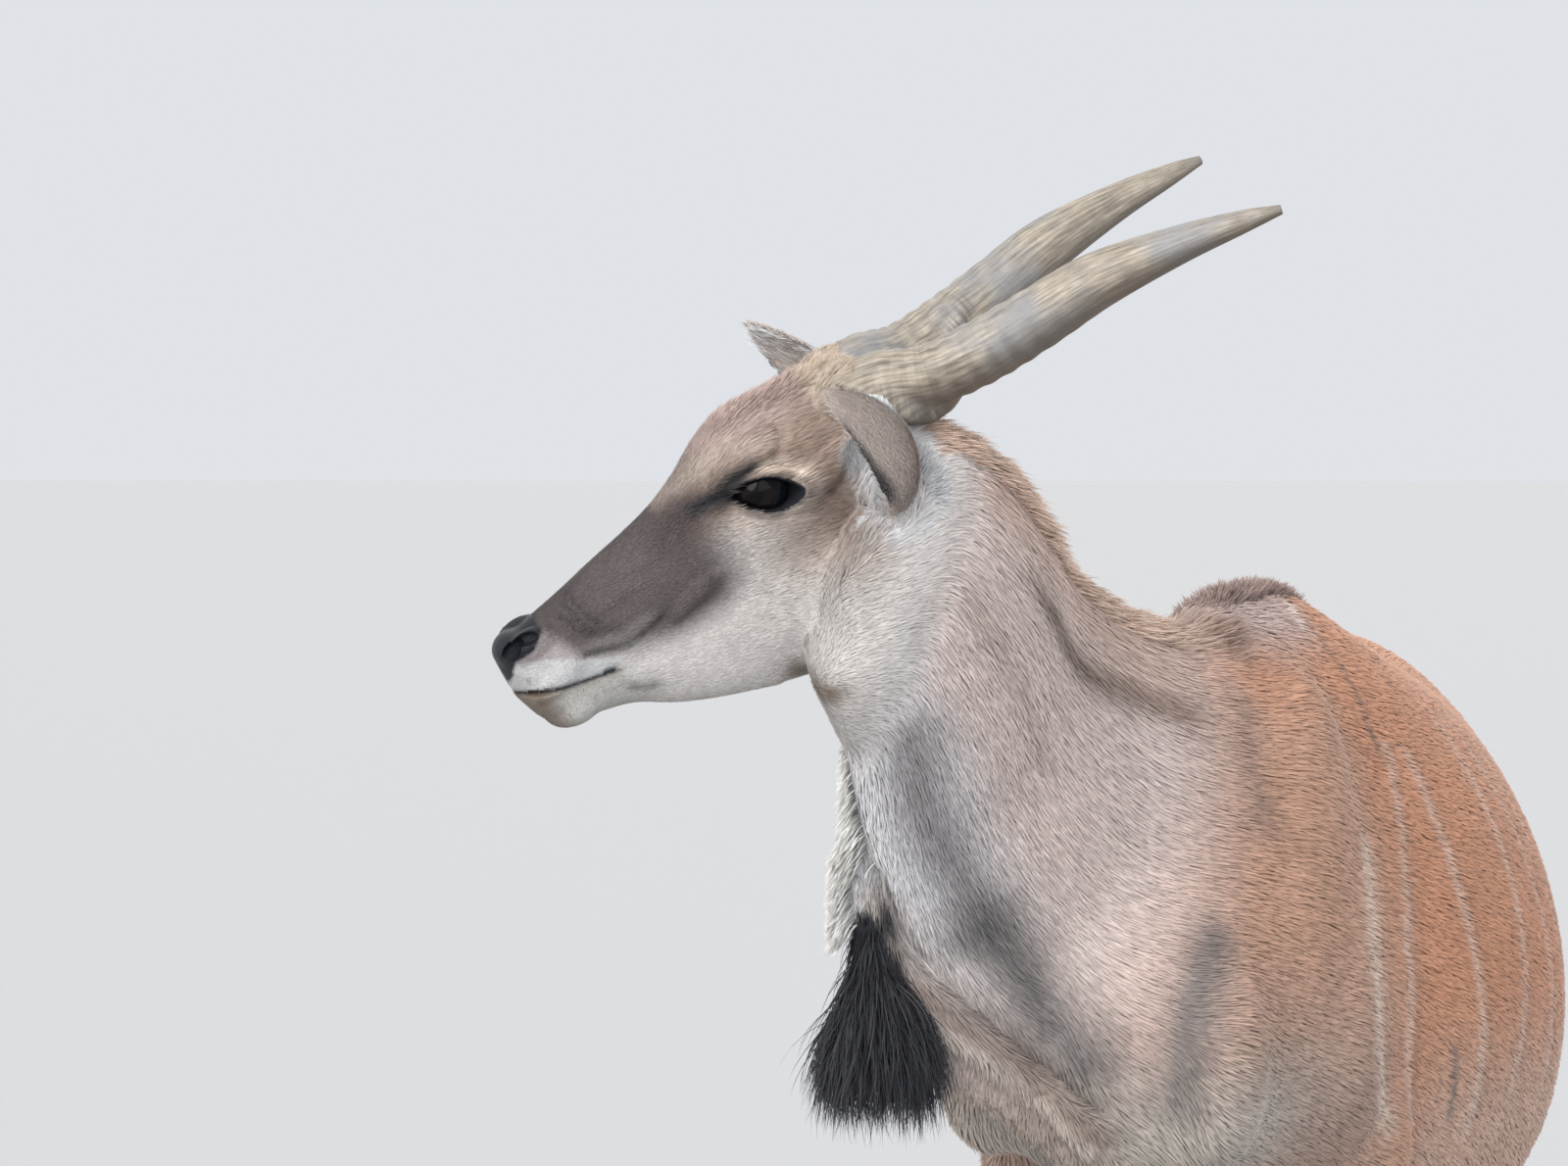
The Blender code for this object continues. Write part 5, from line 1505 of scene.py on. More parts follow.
def make_eye(name, side):
    """A ball with its own pole on the line of sight, and a bulge over the iris."""
    ahead = unit(HEAD[1] * side * math.sin(EYE_SIDEWAYS) + HEAD[0] * math.cos(EYE_SIDEWAYS))
    up = unit(HEAD[2] - ahead * (HEAD[2] @ ahead))
    across = np.cross(up, ahead)
    centre = on_head(*mirrored(EYE_CENTRE, side))
    turn = 2 * math.pi * np.arange(64) / 64
    flat = np.outer(np.cos(turn), across) + np.outer(np.sin(turn), up)
    rings = []
    for tilt in np.linspace(POLE_TILT, math.pi - POLE_TILT, 48):
        radius = EYE_RADIUS - EYE_GAP + CORNEA_BULGE * rise(tilt, CORNEA_ANGLE, 0.0)
        rings.append(centre + (flat * math.sin(tilt) + ahead * math.cos(tilt)) * radius)
    eye = stitch(name, rings)
    apart = (places(eye.data) - centre) / EYE_RADIUS
    store(eye.data, "gaze", "FLOAT_VECTOR", apart @ np.array([across, up, ahead]).T)
    return eye


SIDES = {"left": 1, "right": -1}
EYE_FINISH = eye_material()
eyes = {word: make_eye("eland_eye_" + word, side) for word, side in SIDES.items()}
for word, eye in eyes.items():
    print(word, "eye at", (np.mean(places(eye.data), axis=0) + SHIFT).round(3).tolist())

# %% [markdown]
# ## Horns
# Each horn is a nearly straight cone with a raised keel that winds once round its lower half, and
# low growth rings across it that fade towards the smooth tip. The rings and the keel are written
# into the radius, so that they show in the outline as well as in the shading. Fibres, cold patches
# and dark arcs are noise, stretched along the horn or round it.

# %% Make the horns
HORN_TURNS = 1.05
HORN_KEEL = 0.016
HORN_RING_DEPTH = 0.0006
HORN_RINGS = 23
# ahead, side, height, radius
HORN_ROWS = [
    (-0.104, 0.036, 0.028, 0.022),
    (-0.155, 0.050, 0.028, 0.033),
    (-0.205, 0.065, 0.012, 0.032),
    (-0.263, 0.080, 0.008, 0.033),
    (-0.330, 0.096, 0.012, 0.032),
    (-0.400, 0.114, 0.018, 0.029),
    (-0.483, 0.138, 0.013, 0.020),
    (-0.550, 0.157, 0.004, 0.012),
    (-0.590, 0.169, -0.003, 0.005),
]
# length and radius over which the horn's grain is spread
GRAIN_LENGTH = 0.55
GRAIN_RADIUS = 0.03


def make_horn(name, side, count=260, sides=80):
    rows = smooth_rows(HORN_ROWS, count)
    turn = 2 * math.pi * np.arange(sides) / sides
    rings, along, keels, grains = [], [], [], []
    for i, row in enumerate(rows):
        ahead = unit(rows[min(i + 1, count - 1)][:3] - rows[max(i - 1, 0)][:3])
        out = unit(np.array([0.0, 1.0, 0.0]) - ahead * ahead[1])
        top = np.cross(ahead, out)
        top *= math.copysign(1, top[2])
        t = i / (count - 1)
        keel_turn = 2 * math.pi * HORN_TURNS * min(1.0, t / 0.52)
        keel = HORN_KEEL * math.sin(math.pi * min(1.0, (t + 0.06) / 0.50)) ** 0.8
        apart = (turn - keel_turn + math.pi) % (2 * math.pi) - math.pi
        crest = np.exp(-(apart / 0.42) ** 2)
        beat = 2 * math.pi * HORN_RINGS * t ** 0.9 + 0.7 * np.cos(turn + 1.0) + 0.5 * math.sin(31 * t)
        ringed = HORN_RING_DEPTH * (1 - rise(t, 0.40, 0.66)) * np.sin(beat)
        reach = row[3] + keel * crest + ringed
        local = row[:3] + np.outer(reach * np.cos(turn), top) + np.outer(reach * np.sin(turn), out)
        rings.append(on_side(local, side))
        along.append(np.full(sides, t))
        keels.append(crest * keel / HORN_KEEL)
        grains.append(np.stack([np.full(sides, t * GRAIN_LENGTH), GRAIN_RADIUS * np.cos(turn),
                                GRAIN_RADIUS * np.sin(turn)], axis=1))
    horn = stitch(name, rings)
    # the last two points are the middles of the ends
    store(horn.data, "along", "FLOAT", np.concatenate(along + [[0.0, 1.0]]))
    store(horn.data, "keel", "FLOAT", np.concatenate(keels + [[0.0, 0.0]]))
    ends = [[0.0, 0.0, 0.0], [GRAIN_LENGTH, 0.0, 0.0]]
    store(horn.data, "grain", "FLOAT_VECTOR", np.concatenate(grains + [ends]))
    return horn


def ramp(tree, factor, stops):
    """A colour read between two stops, each a place and a colour."""
    made = add(tree, "ShaderNodeValToRGB", {"Fac": factor})
    for element, (place, colour) in zip(made.color_ramp.elements, stops):
        element.position = place
        element.color = colour
    return made.outputs["Color"]


HORN_STOPS = [(0.30, (0.130, 0.108, 0.084, 1)), (0.66, (0.400, 0.350, 0.280, 1))]
HORN_COLD = (0.185, 0.195, 0.218, 1)
HORN_ARC = (0.075, 0.058, 0.040, 1)
HORN_EDGE = (0.035, 0.034, 0.036, 1)
# painted shade for the horn's underside
HORN_UNDER_SHADE = (0.080, 0.058, 0.040, 1)
HORN_TIP = (0.090, 0.080, 0.070, 1)


def horn_material():
    """Fibres and cold clouds, dark arcs low down, a darker keel and tip, and painted shade on the
    underside.
    """
    made, tree, shader = new_material("eland_horn")
    along, keel = stored(tree, "along"), stored(tree, "keel")
    grain = stored(tree, "grain", "Vector")
    fibres = noise(tree, vectors(tree, "MULTIPLY", grain, (14.0, 150.0, 150.0)), 2.2, 6.0)
    lines = noise(tree, vectors(tree, "MULTIPLY", grain, (210.0, 22.0, 22.0)), 1.0, 5.0)
    cloudy = mottled(tree, ramp(tree, fibres, HORN_STOPS), 0.7)
    low = maths(tree, "MULTIPLY", ranged(tree, along, 0.30, 0.60, 0.7, 0.2),
                ranged(tree, along, 0.10, 0.24))
    low = maths(tree, "MULTIPLY", low, ranged(tree, keel, 0.02, 0.35, 0.15, 1.0))
    normal = add(tree, "ShaderNodeNewGeometry").outputs["Normal"]
    upward = add(tree, "ShaderNodeSeparateXYZ", {0: normal}).outputs["Z"]
    colour = cloudy["Colour"]
    for factor, shade in (
            (ranged(tree, cloudy["Cloud"], 0.50, 0.62, 0.0, 0.65), HORN_COLD),
            (maths(tree, "MULTIPLY", low, ranged(tree, lines, 0.52, 0.42)), HORN_ARC),
            (ranged(tree, keel, 0.80, 0.97, 0.0, 0.8), HORN_EDGE),
            # painted shade where the horn faces downwards
            (ranged(tree, upward, -0.05, -0.65, 0.0, 0.75), HORN_UNDER_SHADE),
            (ranged(tree, along, 0.90, 1.0, 0.0, 0.5), HORN_TIP)):
        colour = blended(tree, factor, colour, shade)
    feed(tree, shader, {
        "Base Color": colour, "Roughness": ranged(tree, fibres, 0.0, 1.0, 0.42, 0.62),
        "Normal": relief(tree, maths(tree, "ADD", lines, fibres), 0.5, 0.0010)})
    return made


HORN_FINISH = horn_material()
horns = {word: make_horn("eland_horn_" + word, side) for word, side in SIDES.items()}
print("horns made of", len(horns["left"].data.polygons), "faces each")

# %% [markdown]
# ## Hooves
# A cloven hoof is two horny shoes side by side. Each wall slopes forward to a rounded toe and shows
# fine level lines, one for each spell of growth. The claws are lofted from the sole to the hairline.

# %% Make the hooves
# height, half width, toe reach, heel reach
CLAW_ROWS = [
    (0.0000, 0.0150, 0.0600, 0.0440),
    (0.0015, 0.0180, 0.0650, 0.0490),
    (0.0140, 0.0187, 0.0640, 0.0510),
    (0.0400, 0.0182, 0.0500, 0.0500),
    (0.0600, 0.0176, 0.0400, 0.0480),
    (0.0655, 0.0160, 0.0350, 0.0440),
]
CLAW_APART = 0.0190
HOOF_FORWARD = 0.02
HOOF_STOPS = [(0.0, (0.010, 0.009, 0.008, 1)), (1.0, (0.075, 0.062, 0.050, 1))]


def make_hoof(name, side, along):
    centre = on_body(side, along, 0)
    left = body_left(along)
    ahead = np.cross(left, UP)
    claws = []
    for s in (-1, 1):
        rings = []
        for z, half, toe, heel in smooth_rows(CLAW_ROWS, 26):
            middle = centre + left * s * CLAW_APART + UP * z
            rings.append(egg(middle, left, ahead, half, toe, heel, 1.7, 2.6, 48))
        claws.append(stitch("claw", rings))
    claws.append(lump(centre - ahead * 0.026 + UP * 0.040, (0.014, 0.016, 0.018), (left, ahead, UP)))
    return joined(name, claws)


def hoof_material():
    made, tree, shader = new_material("eland_hoof")
    level = vectors(tree, "MULTIPLY", object_place(tree), (12.0, 12.0, 420.0))
    lines = noise(tree, level, 1.0, 4.0)
    feed(tree, shader, {"Base Color": ramp(tree, lines, HOOF_STOPS), "Roughness": 0.45,
                        "Normal": relief(tree, lines, 0.5, 0.001)})
    return made


HOOF_FINISH = hoof_material()
hooves = {}
for leg, (side, along) in (("foreleg_left", FORE_LEFT), ("foreleg_right", FORE_RIGHT),
                           ("hindleg_left", HIND_LEFT), ("hindleg_right", HIND_RIGHT)):
    hooves[leg] = make_hoof("eland_hoof_" + leg, side, along - HOOF_FORWARD)
print("hooves", len(hooves))

# %% [markdown]
# ## The coat
# The coat is short and lies close. Thousands of small bent blades are strewn over the skin by
# Geometry Nodes, each turned along the lie of the hair, with its length read from the skin. The
# eland's face has the shortest hair, and the neck and shoulders the longest. Each blade keeps the
# colour of its root, a shade of its own, and a small patch of the skin's own unwrap for baking.

# %% Length and cover of the coat
UNWRAP_ANGLE = 1.15
UNWRAP_MARGIN = 0.002
BAKE_PATCH = 0.003


def unwrapped(made):
    """A temporary unwrap of the skin, which the coat's pieces share."""
    made.data.uv_layers.new(name="OFBake")
    bpy.context.view_layer.objects.active = made
    made.select_set(True)
    bpy.ops.object.mode_set(mode="EDIT")
    bpy.ops.mesh.select_all(action="SELECT")
    bpy.ops.uv.smart_project(angle_limit=UNWRAP_ANGLE, island_margin=UNWRAP_MARGIN)
    bpy.ops.object.mode_set(mode="OBJECT")


def mix(a, b, share):
    return a + (b - a) * share


def fur_length(points):
    """The length of the hair; on the face it grows from the nose up to the forehead."""
    share, nape, _ = neck_place(points)
    local = head_local(points)
    length = np.full(len(points), 0.021)
    length = mix(length, 0.024, rise(points[:, 2], 0.9, 1.1) * rise(points[:, 1], 0.2, 0.0))
    length = mix(length, 0.019, rise(nape, 0.3, -0.5) * rise(share, 0.6, 0.3))
    length = mix(length, 0.0085, leg_share(points))
    length = mix(length, 0.0125, dewlap_share(points))
    face = 0.0052 + 0.0095 * rise(local[:, 0], 0.12, -0.06) + 0.0055 * rise(local[:, 2], 0.045, 0.075)
    face = mix(face, 0.0034, rise(local[:, 0], 0.19, 0.23))
    length = mix(length, face, head_share(points))
    return mix(length, 0.0085, ear_share(points))


def cover(points):
    """1 where the coat grows; 0 on the wet nose, in the mouth and nostrils, and between the lids."""
    local = head_local(points)
    plane = local[:, [0, 2]]
    eye = within(plane, almond()) | (line_distance(plane, almond()) < 0.0036)
    bare = eye & (np.abs(local[:, 1]) > 0.035)
    bare |= wet_nose(local) > 0.3
    bare |= (line_distance(plane, MOUTH_DARK) < 0.0032) & (local[:, 0] > 0.21)
    bare &= head_share(points) > 0.5
    local[:, 1] = np.abs(local[:, 1])
    bare |= line_distance(local, [row[:3] for row in HORN_ROWS[1:5]]) < 0.041
    bare |= points[:, 2] < HOOF_HEIGHT
    return 1.0 - bare


unwrapped(skin)
fur = fur_length(skin_points)
store(skin.data, "fur", "FLOAT", fur)
print("coat length from", fur.min().round(4), "to", fur.max().round(4))

# %% [markdown]
# ### One blade, and the tree that strews it
# A blade is a slim kite that rises a little and comes down to a point, like a lock of short hairs
# that cling together. The tree strews points by a density that is painted on the skin, sets a blade
# on each with its own small turn, length and lift, and writes its patch for baking.

# %% Blade and tree


def make_blade():
    points = [(0, 0, 0), (0.4, -0.5, 0.045), (0.4, 0.5, 0.045), (1.0, 0.0, 0.01)]
    mesh = bpy.data.meshes.new("blade")
    mesh.from_pydata(points, [], [(0, 1, 2), (1, 3, 2)])
    store(mesh, "blade", "FLOAT_VECTOR", [(p[1], p[0], 0) for p in points])
    return linked("blade", mesh)


def coat_tree():
    """Strews blades by density, turns and stretches each, and writes its patch for baking."""
    inputs = [("Skin", "Geometry"), ("Blade", "Object"), ("Density", "Float"), ("Seed", "Int"),
              ("Width", "Float"), ("Lift", "Float"), ("Stray", "Float"), ("Finish", "Material")]
    tree, given, out = new_group("coat", [(*row, None) for row in inputs], [("Coat", "Geometry")],
                                 "GeometryNodeTree")
    seed = given["Seed"]

    def named(name, kind="FLOAT"):
        return add(tree, "GeometryNodeInputNamedAttribute", {"Name": name},
                   data_type=kind).outputs["Attribute"]

    def chance(low, high, offset):
        values = {"Min": low, "Max": high, "Seed": maths(tree, "ADD", seed, float(offset))}
        return add(tree, "FunctionNodeRandomValue", values).outputs["Value"]

    density = maths(tree, "MULTIPLY", named("cover"), given["Density"])
    strewn = add(tree, "GeometryNodeDistributePointsOnFaces",
                 {"Mesh": given["Skin"], "Density": density, "Seed": seed}).outputs
    sway = add(tree, "FunctionNodeRandomValue", {0: (-1, -1, -1), 1: (1, 1, 1), "Seed": seed},
               data_type="FLOAT_VECTOR").outputs[0]
    lift = scaled(tree, strewn["Normal"], maths(tree, "MULTIPLY", given["Lift"], chance(0.6, 1.4, 3)))
    way = vectors(tree, "ADD", named("lie", "FLOAT_VECTOR"), lift)
    way = vectors(tree, "ADD", way, scaled(tree, sway, given["Stray"]))
    turn = add(tree, "FunctionNodeAxesToRotation",
               {"Primary Axis": way, "Secondary Axis": strewn["Normal"]},
               primary_axis="X", secondary_axis="Z").outputs[0]
    length = maths(tree, "MULTIPLY", named("fur"), chance(0.75, 1.3, 7))
    size = add(tree, "ShaderNodeCombineXYZ", {"X": length, "Y": given["Width"], "Z": length})
    shade = add(tree, "GeometryNodeStoreNamedAttribute",
                {"Geometry": strewn["Points"], "Name": "shade", "Value": chance(0.0, 1.0, 11)})
    blade = add(tree, "GeometryNodeObjectInfo", {"Object": given["Blade"], "As Instance": True})
    set_out = add(tree, "GeometryNodeInstanceOnPoints",
                  {"Points": shade.outputs["Geometry"], "Instance": blade.outputs["Geometry"],
                   "Rotation": turn, "Scale": size.outputs[0]})
    real = add(tree, "GeometryNodeRealizeInstances", {"Geometry": set_out.outputs["Instances"]})
    patch = vectors(tree, "ADD", named("OFBake", "FLOAT_VECTOR"),
                    scaled(tree, named("blade", "FLOAT_VECTOR"), BAKE_PATCH))
    baked = add(tree, "GeometryNodeStoreNamedAttribute",
                {"Geometry": real.outputs["Geometry"], "Name": "OFBake", "Value": patch},
                data_type="FLOAT2", domain="CORNER")
    finish = add(tree, "GeometryNodeSetMaterial",
                 {"Geometry": baked.outputs["Geometry"], "Material": given["Finish"]})
    feed(tree, out, {"Coat": finish.outputs["Geometry"]})
    return tree


def coat_material():
    """The painted tint, with a shade of its own for each blade, darker at the root as painted shade
    and lighter at the tip as painted light.
    """
    made, tree, shader = new_material("eland_coat")
    along = add(tree, "ShaderNodeSeparateXYZ", {0: stored(tree, "blade", "Vector")}).outputs["Y"]
    # each blade darker at its root and lighter at its tip: painted shade and painted light for depth
    shade = maths(tree, "MULTIPLY", ranged(tree, stored(tree, "shade"), 0.0, 1.0, 0.78, 1.17),
                  ranged(tree, along, 0.0, 1.0, 0.86, 1.15))
    cloudy = mottled(tree, stored(tree, "tint", "Color"), 0.35)["Colour"]
    feed(tree, shader, {"Base Color": scaled(tree, cloudy, shade), "Roughness": 0.62,
                        "Specular IOR Level": 0.35, "Sheen Weight": 0.10})
    return made


BLADE = make_blade()
COAT_TREE = coat_tree()
COAT_FINISH = coat_material()

# %% [markdown]
# ### Strewing the coat
# Each region gets its own density and blade width, and becomes one plain mesh. The face has many
# fine blades, and the trunk fewer, longer ones. A region is a part of the skin chosen by place.

# %% Regions
# density per square metre, blade width, lift off the skin, stray
COAT_PIECES = {
    "face_left": (430000, 0.0011, 0.14, 0.09),
    "face_right": (430000, 0.0011, 0.14, 0.09),
    "ears": (330000, 0.0011, 0.30, 0.22),
    "neck_left": (210000, 0.0019, 0.13, 0.11),
    "neck_right": (150000, 0.0021, 0.13, 0.11),
    "shoulder_left": (85000, 0.0028, 0.08, 0.07),
    "shoulder_right": (75000, 0.0028, 0.08, 0.07),
    "flank_left": (62000, 0.0030, 0.08, 0.07),
    "flank_right": (62000, 0.0030, 0.08, 0.07),
    "legs": (60000, 0.0022, 0.16, 0.10),
}
COAT_SEED = 11


def region(points):
    """The name of the coat piece that each point belongs to."""
    left = neck_place(points)[2]
    on_neck = (points - NECK_PLANE) @ NECK_WAY > -0.05
    near = trunk_place(points)[1] >= 0
    names = np.where(points[:, 1] > 0.45, np.where(near, "flank_left", "flank_right"),
                     np.where(near, "shoulder_left", "shoulder_right")).astype("U16")
    names[on_neck & (left >= 0)] = "neck_left"
    names[on_neck & (left < 0)] = "neck_right"
    names[leg_share(points) > 0.5] = "legs"
    over = head_share(points) > 0.5
    left_half = head_local(points)[:, 1] >= 0
    names[over & left_half] = "face_left"
    names[over & ~left_half] = "face_right"
    names[ear_share(points) > 0.5] = "ears"
    return names


def socket_of(tree, label):
    return next(item.identifier for item in tree.interface.items_tree if item.name == label)


def strew(name, seed, where):
    """One piece of the coat: the tree's blades on the part of the skin where it grows."""
    density, width, lift, stray = COAT_PIECES[name]
    density *= 1.0
    mesh = skin.data.copy()
    store(mesh, "cover", "FLOAT", where)
    made = linked("eland_coat_" + name, mesh)
    step = made.modifiers.new("coat", "NODES")
    step.node_group = COAT_TREE
    for label, value in (("Blade", BLADE), ("Density", density), ("Seed", seed), ("Width", width),
                         ("Lift", lift), ("Stray", stray), ("Finish", COAT_FINISH)):
        step[socket_of(COAT_TREE, label)] = value
    evaluated(made)
    for extra in ("lie", "fur", "cover", "wet"):
        if extra in made.data.attributes:
            made.data.attributes.remove(made.data.attributes[extra])
    print(made.name, "blades", len(made.data.polygons) // 2)
    return made


names = region(skin_points)
grows = cover(skin_points)
coat = [strew(name, COAT_SEED + k, grows * (names == name)) for k, name in enumerate(COAT_PIECES)]
bpy.data.objects.remove(BLADE, do_unlink=True)

# %% [markdown]
# ## Long hair
# Some hair stands out from the coat: the mane along the nape, the crest on the hump, the white
# fringe of the throat, the black tuft that hangs from the dewlap, the tail's tuft, the forehead's
# tufts, and the fringes of the ears. Each hair is a thin ribbon that leaves the skin one way and
# bends to another. Ribbons are turned at random, so that together they look full from every side.

# %% Ribbons of hair
ROOT_SINK = 0.002
SKIN_TREE = BVHTree.FromObject(skin, bpy.context.evaluated_depsgraph_get())


def face_patches():
    """One place of the unwrap for each face of the skin."""
    mesh = skin.data
    uv = np.empty(2 * len(mesh.loops), np.float32)
    mesh.uv_layers["OFBake"].data.foreach_get("uv", uv)
    starts = np.empty(len(mesh.polygons), np.int32)
    mesh.polygons.foreach_get("loop_start", starts)
    return uv.reshape(-1, 2)[starts]


PATCHES = face_patches()


def rooted(points):
    """The nearest places on the skin, with the way out of it and its unwrap there."""
    place, outward, face, _ = zip(*[SKIN_TREE.find_nearest(Vector(p)) for p in points])
    return np.array(place), np.array(outward), PATCHES[list(face)]


def unit_rows(rows):
    return rows / np.maximum(np.linalg.norm(rows, axis=1), 1e-9)[:, None]


def ribbons(roots, rise_way, fall_way, length, width, root_tint, tip_tint, steps=5, seed=1,
            stray=0.12):
    """Arrays of one kind of hair: points, tints, shades, blade places and unwrap places."""
    draw = np.random.default_rng(seed)
    count = len(roots)
    place, outward, patch = rooted(roots)
    length = np.broadcast_to(length, count) * draw.uniform(0.72, 1.15, count)
    rise_way = unit_rows(np.broadcast_to(rise_way, (count, 3)) + draw.normal(0, stray, (count, 3)))
    fall_way = unit_rows(np.broadcast_to(fall_way, (count, 3)) + draw.normal(0, stray, (count, 3)))
    across = unit_rows(np.cross(rise_way, draw.normal(0, 1, (count, 3))))
    path = [place - outward * ROOT_SINK]
    for step in range(steps):
        way = unit_rows(mix(rise_way, fall_way, (step + 0.5) / steps))
        path.append(path[-1] + way * (length / steps)[:, None])
    shares = np.linspace(0, 1, steps + 1)
    spread = width * np.minimum(1.0, 0.75 + shares) * (1 - shares) ** 0.6
    edges = [path[k] + across * edge * spread[k] for k in range(steps) for edge in (-0.5, 0.5)]
    points = np.stack(edges + [path[-1]], axis=1)
    along = np.append(np.repeat(shares[:-1], 2), 1.0)
    aside = np.append(np.tile([-0.5, 0.5], steps), 0.0)
    root_tint = np.broadcast_to(root_tint, (count, 3))
    tip_tint = np.broadcast_to(tip_tint, (count, 3))
    tint = root_tint[:, None] + (tip_tint - root_tint)[:, None] * (along ** 1.3)[None, :, None]
    blade = np.broadcast_to(np.stack([aside, along, 0 * along], axis=1), points.shape)
    baked = patch[:, None] + blade[:, :, :2] * BAKE_PATCH
    shade = np.broadcast_to(draw.uniform(0, 1, (count, 1)), points.shape[:2])
    return points, tint, shade, blade, baked


def hair_piece(name, kinds):
    """One mesh of several kinds of ribbons."""
    faces, start = [], 0
    for kind in kinds:
        count, corners = kind[0].shape[:2]
        steps = (corners - 1) // 2
        strip = [(2 * k, 2 * k + 1, 2 * k + 3, 2 * k + 2) for k in range(steps - 1)]
        strip.append((2 * steps - 2, 2 * steps - 1, 2 * steps))
        for first in range(start, start + count * corners, corners):
            faces += [tuple(first + k for k in face) for face in strip]
        start += count * corners
    points, tints, shades, blades, patches = (
        np.concatenate([part.reshape(-1, width) for part in parts])
        for parts, width in zip(zip(*kinds), (3, 3, 1, 3, 2)))
    mesh = bpy.data.meshes.new(name)
    mesh.from_pydata(points.tolist(), [], faces)
    store(mesh, "tint", "FLOAT_COLOR", tints)
    store(mesh, "shade", "FLOAT", shades)
    store(mesh, "blade", "FLOAT_VECTOR", blades)
    corner = np.empty(len(mesh.loops), np.int32)
    mesh.loops.foreach_get("vertex_index", corner)
    layer = mesh.uv_layers.new(name="OFBake")
    layer.data.foreach_set("uv", patches[corner].astype(np.float32).ravel())
    print(name, "ribbons", sum(len(kind[0]) for kind in kinds), "faces", len(faces))
    return linked(name, mesh)


# %% Mane and crest
MANE_COUNT = 11000
MANE_SPREAD = 0.034
MANE_LENGTH = 0.062
MANE_WIDTH = 0.0021
MANE_TIP = (0.72, 0.560, 0.460)
MANE_ROOT = (0.40, 0.260, 0.195)
NECK_STATIONS = 200
CREST_COUNT = 5200
CREST_FROM = -0.17
CREST_TO = 0.27
CREST_SPREAD = 0.030
CREST_LENGTH = 0.036
CREST_ROOT = (0.150, 0.100, 0.088)
CREST_TIP = (0.36, 0.250, 0.215)
HUMP_LINE = ([-0.27, -0.14, 0.00, 0.14, 0.35], [1.280, 1.405, 1.432, 1.427, 1.373])


def mane():
    draw = np.random.default_rng(21)
    share = draw.uniform(0.02, 0.93, MANE_COUNT)
    side = np.clip(draw.normal(0, 0.5, MANE_COUNT), -1.2, 1.2)
    picked = (share * (NECK_STATIONS - 1)).astype(int)
    centre, left, nape, back, above = (np.array(part)[picked]
                                       for part in list(zip(*neck_frames(NECK_STATIONS)))[:5])
    lean = left * side[:, None]
    roots = centre + nape * (above * (1 - 0.06 * side ** 2))[:, None] + lean * MANE_SPREAD
    length = MANE_LENGTH * (0.62 + 0.38 * rise(share, 0.0, 0.35)) * (1 - 0.35 * np.abs(side))
    tip = mix(np.array(MANE_TIP), np.array(CREST_TIP), rise(share, 0.80, 0.93)[:, None])
    return ribbons(roots, nape * 0.75 + back * 0.75 + lean * 0.35, nape * 0.30 + back + lean * 0.20,
                   length, MANE_WIDTH, MANE_ROOT, tip, seed=22)


def crest():
    draw = np.random.default_rng(23)
    y = draw.uniform(CREST_FROM, CREST_TO, CREST_COUNT)
    side = np.clip(draw.normal(0, 0.5, CREST_COUNT), -1.2, 1.2)
    roots = np.stack([spine_x(y) + side * CREST_SPREAD, y, np.interp(y, *HUMP_LINE)], axis=1)
    lean = np.outer(side, [0.40, 0.0, 0.0])
    length = CREST_LENGTH * (0.12 + 0.88 * rise(y, CREST_TO, 0.02) * rise(y, CREST_FROM, -0.04))
    return ribbons(roots, [0.0, 0.8, 0.9] + lean, [0.0, 1.0, 0.3] + lean, length, MANE_WIDTH,
                   CREST_ROOT, CREST_TIP, seed=24)


hair = [hair_piece("eland_hair_mane", [mane(), crest()])]

# %% Throat fringe and dewlap tuft
# roots of the tuft from the top down, and how far it hangs
TUFT_EDGE = [
    (-0.400, -0.486, 1.125, 0.036),
    (-0.400, -0.484, 1.090, 0.045),
    (-0.402, -0.483, 1.050, 0.066),
    (-0.397, -0.481, 1.015, 0.098),
    (-0.392, -0.482, 0.980, 0.104),
    (-0.390, -0.483, 0.955, 0.078),
]
TUFT_COUNT = 10500
# the tips lighter and bluer than the black roots: a painted sheen on black hair
TUFT_TIP_SHEEN = (0.022, 0.023, 0.030)
TUFT_WIDTH = 0.0019
FRINGE_LINE = [(-0.385, -0.560, 1.330), (-0.398, -0.545, 1.230), (-0.424, -0.520, 1.135),
               (-0.420, -0.500, 1.070)]
FRINGE_COUNT = 7000
FRINGE_LENGTH = 0.030
FRINGE_TINT = (0.50, 0.500, 0.500)
FRINGE_TIP = (0.70, 0.690, 0.660)


def tuft():
    draw = np.random.default_rng(25)
    rows = np.array(smooth_rows(TUFT_EDGE, 200))[draw.integers(0, 200, TUFT_COUNT)]
    turn = draw.uniform(0, 2 * math.pi, TUFT_COUNT)
    out = np.outer(np.cos(turn), THROAT_LEFT) + np.outer(np.sin(turn), THROAT_AHEAD)
    roots = rows[:, :3] + out * mix(0.028, 0.008, rise(rows[:, 2:3], 0.99, 1.07))
    spread = draw.uniform(0.05, 1.0, (TUFT_COUNT, 1)) * mix(0.20, 1.0, rise(rows[:, 2:3], 1.07, 0.99))
    rise_way = out * spread * 1.25 - UP * 0.60
    length = rows[:, 3] * (1.12 - 0.50 * spread[:, 0] ** 2)
    return ribbons(roots, rise_way, -out * spread * 0.12 - UP, length, TUFT_WIDTH, BLACK, TUFT_TIP_SHEEN,
                   steps=6, seed=26, stray=0.17)


